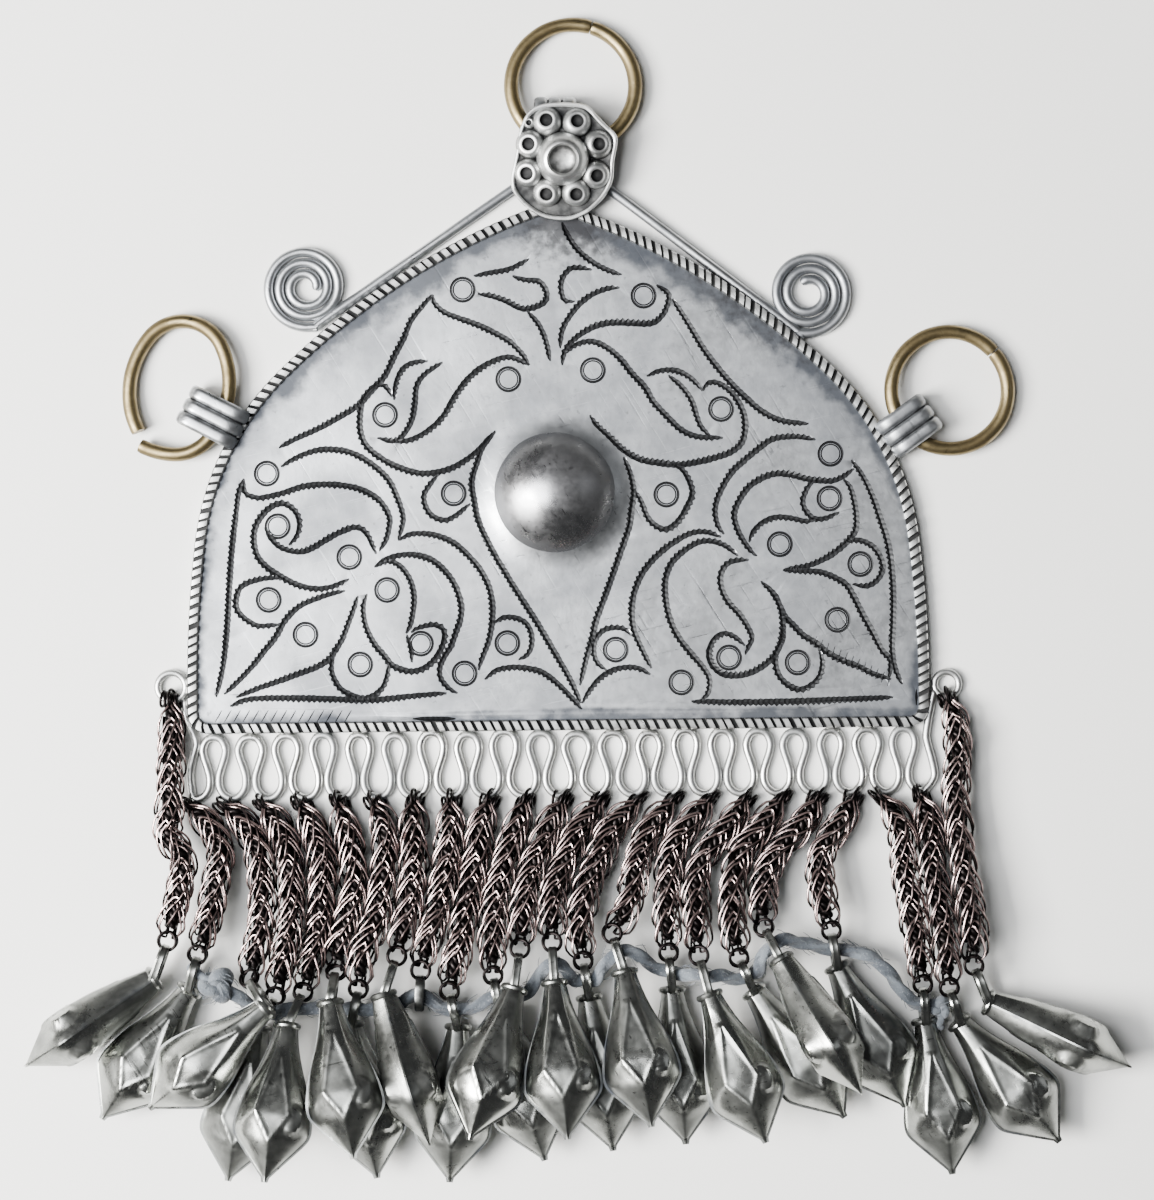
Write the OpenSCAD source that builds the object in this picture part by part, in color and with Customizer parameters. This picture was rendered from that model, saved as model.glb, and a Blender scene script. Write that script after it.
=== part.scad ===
// Medallion pendant, lying on its back: an engraved plate with a rounded top, three hanging
// rings in strap lugs, a flower shaped knop, and a fringe of chains with hollow pointed drops.
// X runs to the right, Y towards the top ring, Z out of the plate's face. Millimetres.

/* [Plate] */
// Half the width of the plate, near its foot
plate_half_w = 56.5; // [56.3:0.1:56.7]
// Thickness of the sheet
sheet_t = 1.4; // [1.2:0.1:1.6]
// Height of the raised rim above the back
rim_h = 2.2; // [2:0.1:2.3]
// Width of the raised rim
rim_w = 1.6; // [1.4:0.1:1.8]
// Radius of the round boss
boss_r = 9.7; // [9.4:0.1:10]
// Height of the boss above the sheet
boss_h = 5.5; // [5:0.1:6]
// Wall of the hollow boss
boss_wall = 0.8; // [0.7:0.05:1]

/* [Wires] */
// Wire of the two scrolls
scroll_wire_d = 1.5; // [1.4:0.05:1.55]
// Wire of the row of loops
loop_wire_d = 0.95; // [0.85:0.05:1]
// Number of loops in the row
loops = 20; // [20:1:20]
// Distance between neighbouring loops
loop_pitch = 5.54; // [5.52:0.01:5.56]

/* [Knop] */
// Thickness of the knop's base
knop_t = 0.8; // [0.7:0.1:0.9]
// Outer radius of a petal
petal_r = 1.65; // [1.5:0.05:1.7]
// Radius of a petal's hole
petal_hole_r = 0.85; // [0.7:0.05:0.9]
// Radius of the cone at its foot
cone_r = 3.9; // [3.7:0.1:4]
// Height of the cone
cone_h = 3.2; // [2.8:0.1:3.6]

/* [Lugs and rings] */
// Width of a strap lug
lug_w = 6.4; // [6.2:0.1:6.5]
// Thickness of the strap
strap_t = 0.8; // [0.7:0.05:0.85]
// Outer height of a lug
lug_h = 4.8; // [4.8:0.1:5]
// Wire of the rings
ring_wire_d = 2.2; // [2:0.05:2.2]
// Radius of the top ring, at the middle of its wire
top_ring_r = 9.45; // [9.3:0.05:9.6]
// Radius of the right ring, at the middle of its wire
right_ring_r = 8.95; // [8.8:0.05:9.1]

/* [Fringe] */
// Width of a chain
chain_d = 3.6; // [3.4:0.1:3.6]
// Thickness of the string
string_d = 2.2; // [2:0.1:2.2]
// Length of a drop without its bail
drop_len = 23; // [22:0.5:23]
// Half the width of a drop
drop_half_w = 5.8; // [5.4:0.1:5.8]
// Half the thickness of a drop
drop_half_t = 4.0; // [3.9:0.1:4]
// Length of a bail
bail_len = 5.6; // [5.4:0.1:5.7]

/* [Hidden] */
$fn = 48;
chain_gap = 1.2;

// Where the plate lies: its foot's middle and its small turn
plate_place = [-2.65, -20.25];
plate_turn = 0.6;

// The plate's outline: corner, side, shoulder and top arcs of one half
corner_r = 3.2;
side_start = 7;
side_r = 180;
side_turn = 7;
shoulder_r = 44;
shoulder_turn = 39;
top_r = 112;
boss_at = [-0.2, 36.2];

// The knop's outline, from its lower middle round to the left, and its petals
knop_at = [-2.0, 57.4];
knop_base_z = 1.9;
knop_tilt = 10;
knop_edge = [
    [0.2, 0], [-2.8, 0.4], [-5.5, 1.9], [-7.5, 4.2], [-7.9, 6.2], [-7.5, 8.3], [-6.9, 11.3],
    [-6.5, 13.8], [-5.2, 16.3], [-3.3, 17.4], [-0.2, 17.7], [2.9, 17.5], [4.2, 16.9], [6.0, 15],
    [7.9, 13.2], [8.3, 11.9], [7.8, 8.9], [7.6, 6.2], [6.5, 3.8], [4.3, 1.5], [2.0, 0.3]
];
cone_at = [0.0, 9.2];
petals = 8;
petal_ring_r = 5.4;
petal_ring_stretch = 1.12;
petal_h = 1.2;

// Lugs: where each lug starts at the rim, its direction and its length
hinge_z = lug_h / 2;
lug_sink = 0.8;
rib_w = 1.9;
rib_depth = 0.35;
top_lug = [[-3.2, 59.4], 90, 16.7];
right_lug = [[47.7, 24.0], 36, 7.9];
left_lug = [[-51.5, 25.5], 153, 9.1];

// Rings: hinge point, direction from the hinge over the ring, tilt down to the ground
hinge_lead = 0.35;
far_wire_z = ring_wire_d / 2;
top_hinge = [-3.1, 69.2];
top_ring_turn = 73;
right_hinge = [50.4, 25.9];
right_ring_turn = 41;
left_hinge = [-54.55, 26.65];
left_ring_turn = 152.6;

// The left ring is bent to an oval of four arcs, with an open end that runs on past the ring
oval_end_r = 6.6;
oval_end_shift = 3.6;
oval_side_shift = 5.65;
oval_side_half = atan2(oval_end_shift, oval_side_shift);
oval_side_r = oval_end_r + norm([oval_end_shift, oval_side_shift]);

function dir(a) = [cos(a), sin(a)];
function unit(v) = v / norm(v);
function arc(c, r, a0, a1, n, first = 0) = [for (i = [first:n]) c + r * dir(a0 + (a1 - a0) * i / n)];
function down_tilt(reach) = asin((hinge_z - far_wire_z) / reach);

side_c = [plate_half_w - side_r, side_start];
shoulder_c = side_c + (side_r - shoulder_r) * dir(side_turn);
top_c = shoulder_c + (shoulder_r - top_r) * dir(side_turn + shoulder_turn);
function half_outline(inset) = concat(
    arc([plate_half_w - corner_r, corner_r], corner_r - inset, -90, 0, 5),
    arc(side_c, side_r - inset, 0, side_turn, 3),
    arc(shoulder_c, shoulder_r - inset, side_turn, side_turn + shoulder_turn, 10, 1),
    arc(top_c, top_r - inset, side_turn + shoulder_turn, acos(-top_c.x / (top_r - inset)), 7, 1)
);
function outline(inset) = let (half = half_outline(inset), n = len(half))
    concat(half, [for (i = [n - 2:-1:0]) [-half[i].x, half[i].y]]);

// A wire swept along points, in rings of flat sides
function tangent(p, i) = unit(p[min(i + 1, len(p) - 1)] - p[max(i - 1, 0)]);
function wire_ring(p, i, r, sides) =
    let (along = tangent(p, i), side = unit(cross(along, [0, 0, 1])), up = cross(side, along))
    [for (k = [0:sides - 1]) p[i] + r * (cos(360 * (k + 0.5) / sides) * side
        + sin(360 * (k + 0.5) / sides) * up)];

module tube(p, d, sides) {
    n = len(p);
    polyhedron(
        points = [for (i = [0:n - 1]) each wire_ring(p, i, d / 2, sides)],
        faces = concat(
            [[for (k = [sides - 1:-1:0]) k]],
            [for (i = [0:n - 2], k = [0:sides - 1]) let (next = (k + 1) % sides)
                [i * sides + k, i * sides + next, (i + 1) * sides + next, (i + 1) * sides + k]],
            [[for (k = [0:sides - 1]) (n - 1) * sides + k]]
        ),
        convexity = 10
    );
}

module stadium(x0, x1, h) {
    for (x = [x0 + h / 2, x1 - h / 2]) translate([x, 0]) circle(d = h);
    translate([x0 + h / 2, -h / 2]) square([x1 - x0 - h, h]);
}

module place_plate() translate(plate_place) rotate(plate_turn) children();

// Sheet, rim and hollow boss, all of one piece
module sheet() {
    dome_r = (boss_r * boss_r + boss_h * boss_h) / (2 * boss_h);
    dome_z = sheet_t + boss_h - dome_r;
    difference() {
        union() {
            linear_extrude(sheet_t) polygon(outline(rim_w / 2));
            linear_extrude(rim_h) difference() {
                polygon(outline(0));
                polygon(outline(rim_w));
            }
            intersection() {
                translate([boss_at.x, boss_at.y, dome_z]) sphere(dome_r);
                translate([boss_at.x, boss_at.y, sheet_t / 2]) cylinder(r = 2 * boss_r, h = 2 * boss_h);
            }
        }
        translate([boss_at.x, boss_at.y, dome_z]) sphere(dome_r - boss_wall);
    }
}

// Scroll wire: two scrolls of nearly three turns and the runs between them
scroll_r0 = 6.15;
scroll_pitch = 1.64;
scroll_step = 18;
scroll_z = scroll_wire_d / 2;
left_scroll_at = [-41.2, 47.35];
right_scroll_at = [35.5, 46.45];
function scroll(c, way, a0, a1) = [for (a = [a0:scroll_step:a1])
    concat(c + (scroll_r0 - scroll_pitch * a / 360) * dir(-90 + way * a), scroll_z)];
left_scroll = scroll(left_scroll_at, -1, -18, 1010);
right_scroll = scroll(right_scroll_at, 1, -18, 940);
scroll_bridge = [
    [-37.3, 43.1], [-10.0, 62.05], [-7.2, 63.9], [-5.2, 65.2], [-3.2, 65.8], [-1.2, 65.4], [1.5, 64.4],
    [3.8, 63.1], [6.2, 61.4], [32.4, 41.7]
];
function turned_round(p) = [for (i = [len(p) - 1:-1:0]) p[i]];

module scroll_wire() {
    tube(concat(turned_round(left_scroll), [for (q = scroll_bridge) concat(q, scroll_z)], right_scroll),
        scroll_wire_d, 8);
}

// Row of loops below the plate, bent from one wire, with an eye at each end
loop_top_y = -0.4;
loop_wire_z = 0.6;
loop_bend = [
    [0, 0], [1.6, -0.6], [2.3, -2.0], [2.0, -3.6], [1.1, -5.5], [0.56, -7.2], [0.9, -8.9], [1.8, -9.95]
];
loop_foot = -10.2;
left_eye = [-59.0, 7.2];
left_eye_r = 2.15;
right_eye = [59.3, 6.4];
right_eye_r = 1.85;
left_end = [[-57.0, 5.3], [-56.8, 2.6], [-55.6, -0.3], [-55.3, -1.6], [-55.9, -3.8], [-56.3, -6.1],
    [-56.2, -7.9], [-55.95, -9.4]];
right_end = [[55.95, -9.4], [56.9, -8.4], [57.3, -7.2], [56.9, -5.0], [56.3, -2.7], [56.1, -1.2],
    [56.6, 1.9], [57.4, 5.6]];
function loop_x(i) = (i - (loops - 1) / 2) * loop_pitch;
function foot_x(i) = (i - loops / 2) * loop_pitch;
function one_loop(i) = concat(
    [[foot_x(i), loop_top_y + loop_foot]],
    [for (k = [len(loop_bend) - 1:-1:0]) [loop_x(i) - loop_bend[k].x, loop_top_y + loop_bend[k].y]],
    [for (k = [1:len(loop_bend) - 1]) [loop_x(i) + loop_bend[k].x, loop_top_y + loop_bend[k].y]]
);
loop_route = concat(
    left_end,
    [for (i = [0:loops - 1]) each one_loop(i)],
    [[foot_x(loops), loop_top_y + loop_foot]],
    right_end
);

module eye(at, r) {
    translate([at.x, at.y, loop_wire_z]) rotate_extrude() translate([r, 0]) circle(d = loop_wire_d);
}

module loop_wire() {
    tube([for (q = loop_route) concat(q, loop_wire_z)], loop_wire_d, 6);
    eye(left_eye, left_eye_r);
    eye(right_eye, right_eye_r);
}

// Strap lug of three ribs with a slot for its ring
module lug(row) {
    translate(row[0]) rotate(row[1]) translate([0, 0, hinge_z]) rotate([90, 0, 0]) difference() {
        union() {
            for (k = [-1:1]) translate([0, 0, k * (lug_w - rib_w) / 2 - rib_w / 2])
                linear_extrude(rib_w) stadium(-lug_sink, row[2], lug_h);
            translate([0, 0, -lug_w / 2 + rib_depth])
                linear_extrude(lug_w - 2 * rib_depth)
                    stadium(rib_depth - lug_sink, row[2] - rib_depth, lug_h - 2 * rib_depth);
        }
        translate([0, 0, -lug_w]) linear_extrude(2 * lug_w)
            stadium(strap_t - lug_sink, row[2] - strap_t, lug_h - 2 * strap_t);
    }
}

// Knop: an eight petalled flower round a cone with a hollow tip
module place_knop() translate([knop_at.x, knop_at.y, knop_base_z]) rotate([knop_tilt, 0, 0]) children();

module knop() {
    hollow_r = 2.2;
    hollow_ball = 3;
    place_knop() difference() {
        union() {
            linear_extrude(knop_t) polygon(knop_edge);
            for (k = [0:petals - 1]) let (a = (k + 0.5) * 360 / petals)
                translate([cone_at.x + petal_ring_r * cos(a), cone_at.y - 0.2
                    + petal_ring_r * petal_ring_stretch * sin(a), 0]) difference() {
                    cylinder(r = petal_r, h = knop_t + petal_h);
                    translate([0, 0, knop_t]) cylinder(r = petal_hole_r, h = 2 * petal_h);
                }
            translate([cone_at.x, cone_at.y, 0])
                cylinder(r1 = cone_r, r2 = cone_r - 1, h = knop_t + cone_h);
        }
        translate([cone_at.x, cone_at.y, knop_t + cone_h + sqrt(hollow_ball * hollow_ball
            - hollow_r * hollow_r)]) sphere(hollow_ball);
    }
}

// Everything that is soldered to the plate is one solid with it
module plate() color([0.55, 0.56, 0.58]) {
    place_plate() {
        sheet();
        loop_wire();
    }
    scroll_wire();
    lug(right_lug);
    lug(left_lug);
    difference() {
        lug(top_lug);
        place_knop() translate([-20, -2, knop_t]) cube([40, 19.7, 9]);
    }
    knop();
}

// A ring tilts from its hinge point down to the ground at its far side
module on_hinge(at, turn, reach) {
    translate([at.x, at.y, hinge_z]) rotate(turn) rotate([0, down_tilt(reach), 0]) children();
}

module round_ring(r, opening) {
    translate([r - hinge_lead, 0, 0]) rotate(opening / 2)
        rotate_extrude(angle = 360 - opening) translate([r, 0]) circle(d = ring_wire_d);
}

module top_ring() color([0.66, 0.62, 0.44])
    on_hinge(top_hinge, top_ring_turn, 2 * top_ring_r - hinge_lead) round_ring(top_ring_r, 1.6);

module right_ring() color([0.66, 0.62, 0.44])
    on_hinge(right_hinge, right_ring_turn, 2 * right_ring_r - hinge_lead)
        round_ring(right_ring_r, 1.6);

module left_ring() color([0.66, 0.62, 0.44]) {
    oval_turn = 83 - left_ring_turn;
    hinge_on_oval = [0, oval_side_shift] + oval_side_r * dir(180 - oval_turn);
    tail_r = 12.3;
    tail_turn = 185;
    tail_end = 159.5;
    open_end = 125;
    half = oval_side_half;
    near_c = [-oval_end_shift, 0];
    way = concat(
        arc(near_c + (oval_end_r - tail_r) * dir(tail_turn), tail_r, tail_end, tail_turn, 5),
        arc(near_c, oval_end_r, tail_turn, 270 - half, 6, 1),
        arc([0, oval_side_shift], oval_side_r, 270 - half, 270 + half, 9, 1),
        arc([oval_end_shift, 0], oval_end_r, half - 90, 90 - half, 14, 1),
        arc([0, -oval_side_shift], oval_side_r, 90 - half, 90 + half, 9, 1),
        arc(near_c, oval_end_r, 90 + half, open_end, 3, 1)
    );
    on_hinge(left_hinge, left_ring_turn, 15.8) translate([-hinge_lead, 0, 0]) rotate(oval_turn)
        translate(-hinge_on_oval) tube([for (q = way) concat(q, 0)], ring_wire_d, 12);
}

// Drops, from left to right: collar x, y and z, the way the tip points, its rise, the roll
// about its length, the way its bail points and the bail's rise
lie_z = 3.2;
lie_rise = 4;
up_z = 7.5;
edge_z = 4.6;
low_bail = 20;
high_bail = -18;
drops = [
    [-63.8, -57.7, edge_z, 214, 5, 90, 70, 8],
    [-58.7, -59.6, lie_z, 236, lie_rise, 0, 75, low_bail],
    [-46.3, -61.2, 10.8, 221, -3, 0, 127, -40],
    [-48.2, -65.4, lie_z, 259, lie_rise, 0, 62, low_bail],
    [-43.4, -64.4, 7.8, 263, 17, 0, 66, -36],
    [-36.8, -60.8, 9.0, 280, 15, 0, 84, -50],
    [-34.1, -64.9, lie_z, 280, lie_rise, 0, 78, low_bail],
    [-28.9, -59.8, 7.6, 288, 9, 90, 72, high_bail],
    [-17.9, -65.2, lie_z, 267, lie_rise, 0, 102, low_bail],
    [-9.3, -58.9, 7.7, 253, 17, 0, 82, high_bail],
    [-11.5, -62.9, lie_z, 287, lie_rise, 0, 100, low_bail],
    [-3.2, -58.0, up_z, 275, 16, 0, 94, high_bail],
    [2.0, -60.7, lie_z, 279, lie_rise, 0, 99, low_bail],
    [7.3, -56.4, up_z, 280, 16, 0, 108, high_bail],
    [14.6, -59.5, lie_z, 275, lie_rise, 0, 96, low_bail],
    [20.1, -59.8, 7.6, 291, 9, 0, 105, high_bail],
    [27.0, -59.8, lie_z, 306, lie_rise, 0, 114, low_bail],
    [30.8, -54.4, 8.5, 301, 20, 90, 118, -36],
    [39.6, -56.1, lie_z, 296, lie_rise, 0, 100, low_bail],
    [52.9, -64.3, lie_z, 280, lie_rise, 0, 95, low_bail],
    [58.2, -64.5, lie_z, 310, lie_rise, 0, 108, low_bail],
    [62.4, -61.3, edge_z, 336, 5, 90, 112, 8]
];
function drop_at(d) = [d[0], d[1], d[2]];
function bail_way(d) = [cos(d[6]) * cos(d[7]), sin(d[6]) * cos(d[7]), sin(d[7])];
function bail_top(d) = drop_at(d) + (bail_len + chain_gap) * bail_way(d);

neck_half_w = 1.6;
neck_top = [0, 0.8, 1.6];
panel_start = [5.5, 0, 2.8];
panel_wide_x = 12.5;
panel_half_w = 2.5;
shoulder_x = 14.5;
panel_tip = [16.2, 0, 3.8];
bump_d = 3.4;
collar_d = 4.3;
collar_w = 1;
bail_w = 1.6;
bail_h = 4.4;
bail_t = 0.6;

// Half of the hollow shell's outer form, as one closed body of flat panels
module drop_half() {
    points = [
        [0, neck_half_w, 0], [shoulder_x, drop_half_w, 0], [drop_len, 0, 0],
        [shoulder_x, -drop_half_w, 0], [0, -neck_half_w, 0],
        neck_top, [neck_top.x, -neck_top.y, neck_top.z], panel_start,
        [panel_wide_x, panel_half_w, drop_half_t], [panel_wide_x, -panel_half_w, drop_half_t], panel_tip
    ];
    polyhedron(points, [
        [4, 3, 2, 1, 0], [5, 6, 4, 0], [7, 6, 5], [1, 5, 0], [1, 8, 5], [8, 7, 5], [6, 3, 4], [9, 3, 6],
        [7, 9, 6], [8, 9, 7], [10, 9, 8], [10, 8, 1], [2, 10, 1], [9, 10, 3], [10, 2, 3]
    ]);
}

module drop(d) color([0.6, 0.6, 0.56]) {
    translate(drop_at(d)) {
        rotate([0, 0, d[3]]) rotate([0, -d[4], 0]) {
            rotate([d[5], 0, 0]) {
                drop_half();
                rotate([180, 0, 0]) drop_half();
                for (side = [-1, 1], face = [-1, 1])
                    translate([13.6, side * 3.9, face * 1.5]) sphere(d = bump_d);
            }
            translate([-collar_w / 2, 0, 0]) rotate([0, 90, 0]) cylinder(d = collar_d, h = collar_w);
        }
        rotate([0, 0, d[6]]) rotate([0, -d[7], 0]) rotate([90, 0, 0])
            translate([0, 0, -bail_w / 2]) linear_extrude(bail_w) difference() {
                stadium(-1, bail_len, bail_h);
                stadium(-1 + bail_t, bail_len - bail_t, bail_h - 2 * bail_t);
            }
    }
}

// A bail that hangs in the fringe without its drop
bare_bail = [-23.7, -62.6, 5.2, 0, 0, 0, 88];
module bare_bail() color([0.3, 0.3, 0.3]) translate(drop_at(bare_bail)) rotate([0, 0, bare_bail[6]])
    rotate([90, 0, 0]) translate([0, 0, -bail_w / 2]) linear_extrude(bail_w) difference() {
        stadium(0, bail_len, bail_h);
        stadium(bail_t, bail_len - bail_t, bail_h - 2 * bail_t);
    }

// Chains, from left to right: the points between the loop wire and the bail
chain_z = 2.1;
chain_gap_y = -11.7;
chain_ways = [
    [[-61.5, -30.7], [-61.8, -35.5], [-59.5, -39.7], [-59.9, -44.3], [-61.0, -49.0]],
    [[-55.8, -34.5], [-53.8, -38.5], [-54.4, -42.8], [-55.5, -48.8]],
    [[-50.5, -34.2], [-48.3, -38.0], [-47.6, -42.8], [-47.5, -48.9], [-48.5, -54.5]],
    [[-45.6, -34.2], [-43.9, -38.2], [-43.3, -42.8], [-43.2, -48.9], [-44.2, -54.5]],
    [[-40.0, -35.2], [-38.6, -39.8], [-38.6, -44.3], [-38.9, -49.5], [-40.0, -54.2]],
    [[-34.3, -37.5], [-33.6, -43.5], [-34.4, -48.1], [-35.8, -52.6]],
    [[-29.2, -34.5], [-28.9, -38.5], [-29.4, -44.3], [-30.2, -48.9], [-32.2, -54.0]],
    [[-24.7, -35.2], [-24.6, -41.3], [-25.2, -46.6], [-26.3, -51.0]],
    [[-19.1, -35.2], [-19.8, -41.3], [-20.7, -46.6], [-22.2, -51.5]],
    [[-14.5, -35.2], [-15.0, -39.8], [-16.2, -44.8], [-17.6, -52.4]],
    [[-9.6, -36.1], [-10.8, -40.5], [-12.1, -46.0], [-12.6, -52.0]],
    [[-4.4, -35.5], [-5.6, -38.5], [-7.1, -42.6], [-8.0, -48.5]],
    [[0.3, -35.2], [-1.2, -39.2], [-3.2, -43.6], [-3.6, -48.5]],
    [[5.4, -35.0], [3.4, -39.8], [1.5, -44.3], [0.5, -50.0]],
    [[11.7, -34.6], [9.5, -39.2], [8.5, -44.3], [7.2, -48.0]],
    [[17.0, -34.6], [14.6, -38.6], [13.9, -44.3], [13.8, -49.0]],
    [[23.2, -34.8], [19.9, -38.6], [18.2, -42.8], [18.2, -48.5]],
    [[28.4, -34.6], [25.4, -38.3], [23.8, -42.4], [23.6, -48.5]],
    [[34.1, -34.8], [31.0, -38.0], [29.0, -41.6], [28.3, -45.4]],
    [[39.6, -35.2], [37.3, -38.5], [37.0, -42.8], [37.5, -46.6]],
    [[49.5, -35.0], [49.8, -41.0], [50.9, -47.0], [51.6, -52.7]],
    [[53.9, -35.2], [54.0, -41.3], [55.1, -47.0], [55.9, -53.0]],
    [[58.0, -20.8], [57.6, -29.9], [58.4, -38.3], [59.3, -45.5], [60.1, -51.0]]
];
// The piece that each chain ends at
chain_ends = concat([for (i = [0:7]) drops[i]], [bare_bail], [for (i = [8, 10, 9]) drops[i]],
    [for (i = [11:21]) drops[i]]);
module chain(i) color([0.25, 0.17, 0.16]) {
    start = i == 0 ? [-61.6, -17.0] : i == 22 ? [57.0, -16.5]
        : plate_place + chain_gap_y * dir(90 + plate_turn) + foot_x(i - 1) * dir(plate_turn);
    end = i == 8 ? drop_at(bare_bail) + [0.2, bail_len + chain_gap, 0] : bail_top(chain_ends[i]);
    tube(concat([concat(start, chain_z)],
        [for (q = chain_ways[i]) concat(q, chain_z + (end.z - chain_z) * (start.y - q.y) / (start.y - end.y))],
        [end]), chain_d, 8);
}

// String through the bails, ending in a knot on either side
string_way = [
    [-52.6, -59.3, 4.9], [-51.2, -60.4, 4.6], [-49.5, -61.7, 4.2], [-47.0, -62.8, 4.1], [-45.6, -63.1, 4.4],
    [-44.4, -62.4, 5.4], [-42.5, -62.1, 6.1], [-40.7, -62.0, 5.7], [-39.2, -62.2, 5.0], [-36.6, -62.8, 4.3],
    [-33.6, -62.2, 4.2], [-31.2, -62.4, 4.1], [-28.6, -62.2, 4.1], [-26.4, -61.4, 4.5], [-23.6, -59.8, 5.2],
    [-21.4, -61.6, 4.7], [-18.5, -62.5, 4.2],
    [-15.6, -62.1, 4.2], [-11.6, -60.2, 4.2], [-8.4, -60.4, 4.2], [-6.2, -58.4, 5.0], [-4.9, -56.0, 6.3],
    [-3.4, -55.2, 6.6], [-1.6, -56.0, 5.9], [-0.4, -58.0, 4.6], [1.4, -58.0, 4.2], [3.2, -57.6, 4.6],
    [4.5, -55.1, 5.9], [6.3, -53.7, 6.6], [8.4, -53.3, 6.3], [11.3, -55.5, 5.0], [14.3, -56.8, 4.2],
    [16.8, -57.0, 5.2], [19.4, -57.1, 6.6], [21.5, -57.0, 6.1], [23.8, -57.6, 4.9], [26.0, -57.4, 4.2],
    [27.5, -56.6, 4.7], [28.1, -54.4, 5.9], [29.7, -52.3, 6.8], [31.6, -51.6, 6.4], [35.0, -52.4, 5.0],
    [39.2, -53.4, 4.2], [42.2, -53.6, 4.2], [46.0, -55.4, 4.2], [49.0, -59.0, 4.2], [50.9, -61.2, 4.2],
    [52.7, -61.6, 4.2], [54.4, -61.8, 4.4]
];
module string() color([0.66, 0.7, 0.74]) tube(string_way, string_d, 8);

module knot(at, big, lobe_turn) color([0.66, 0.7, 0.74]) translate(at) {
    sphere(d = big);
    rotate(lobe_turn) translate([big / 4, 0, big / 8]) sphere(d = 0.75 * big);
}
module string_knot_left() knot([-54.0, -58.8, 5.0], 4.2, 145);
module string_knot_right() knot([55.0, -61.8, 4.4], 2.8, 270);

DROP_NAMES = [for (i = [1:22]) str("drop_", i < 10 ? "0" : "", i)];
CHAIN_NAMES = [for (i = [1:23]) str("chain_", i < 10 ? "0" : "", i)];
plate();
top_ring();
right_ring();
left_ring();
bare_bail();
string();
string_knot_left();
string_knot_right();
for (i = [0:22]) chain(i);
for (i = [0:21]) drop(drops[i]);
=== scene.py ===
"""Looks of the medallion pendant, built round its solids. Lengths are millimetres, in the studio metres."""

import logging
import math
import random
from dataclasses import dataclass, field
from enum import Enum
from typing import Any, Iterable, Optional, Sequence

import bpy
import numpy as np
from mathutils import Matrix, Vector, geometry, kdtree, noise


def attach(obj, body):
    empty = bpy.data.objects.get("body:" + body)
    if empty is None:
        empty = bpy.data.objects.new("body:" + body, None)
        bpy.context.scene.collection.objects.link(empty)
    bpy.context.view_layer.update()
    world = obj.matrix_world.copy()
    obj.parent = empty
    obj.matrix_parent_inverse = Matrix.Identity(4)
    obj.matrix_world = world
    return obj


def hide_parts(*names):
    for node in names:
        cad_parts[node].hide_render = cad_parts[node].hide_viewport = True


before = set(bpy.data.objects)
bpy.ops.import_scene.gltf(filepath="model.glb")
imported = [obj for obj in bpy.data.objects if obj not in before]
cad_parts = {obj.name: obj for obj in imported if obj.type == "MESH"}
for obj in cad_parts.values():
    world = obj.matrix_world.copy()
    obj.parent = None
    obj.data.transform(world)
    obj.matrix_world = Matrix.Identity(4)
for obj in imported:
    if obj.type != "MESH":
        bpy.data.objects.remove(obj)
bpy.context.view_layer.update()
LOG = logging.getLogger("pendant")
MM = 0.001
Points = Sequence[Sequence[float]]


class Body(Enum):
    """The moving groups of the pendant."""

    PENDANT = "pendant"
    TOP_RING = "top_ring"
    RIGHT_RING = "right_ring"
    LEFT_RING = "left_ring"


class Slot(Enum):
    """The finishes that the record names."""

    SILVER = "dark_silver"
    BRASS = "ring_brass"
    CHAIN = "dark_chain"
    NICKEL = "nickel"
    COTTON = "cotton"


# Shader writing
class Value:
    """A shader socket that takes part in Python sums."""

    def __init__(self, shader: "Shader", socket: Any) -> None:
        """Keep the socket and the shader it belongs to."""
        self.shader, self.socket = shader, socket

    def _sum(self, operation: str, *terms: Any) -> "Value":
        """Add one Math node.

        Args:
            operation: The node's operation.
            terms: Values or numbers, in order.

        Returns:
            The node's result.
        """
        return self.shader.node("ShaderNodeMath", {"operation": operation}, dict(enumerate(terms)))

    def __add__(self, other: Any) -> "Value":
        """Sum."""
        return self._sum("ADD", self, other)

    __radd__ = __add__

    def __mul__(self, other: Any) -> "Value":
        """Product."""
        return self._sum("MULTIPLY", self, other)

    __rmul__ = __mul__

    def __sub__(self, other: Any) -> "Value":
        """Difference."""
        return self._sum("SUBTRACT", self, other)

    def __rsub__(self, other: Any) -> "Value":
        """Difference from a number."""
        return self._sum("SUBTRACT", other, self)

    def above(self, low: float, high: float) -> "Value":
        """Rise smoothly from 0 at low to 1 at high.

        Args:
            low: Where the rise starts.
            high: Where it ends; below low, the value falls instead.

        Returns:
            The stepped value.
        """
        settings = {"interpolation_type": "SMOOTHSTEP", "clamp": True}
        if high < low:
            return 1 - self.above(high, low)
        return self.shader.node("ShaderNodeMapRange", settings, {0: self, 1: low, 2: high, 3: 0.0, 4: 1.0})

    def most(self, other: Any) -> "Value":
        """The greater of two values."""
        return self._sum("MAXIMUM", self, other)


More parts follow.
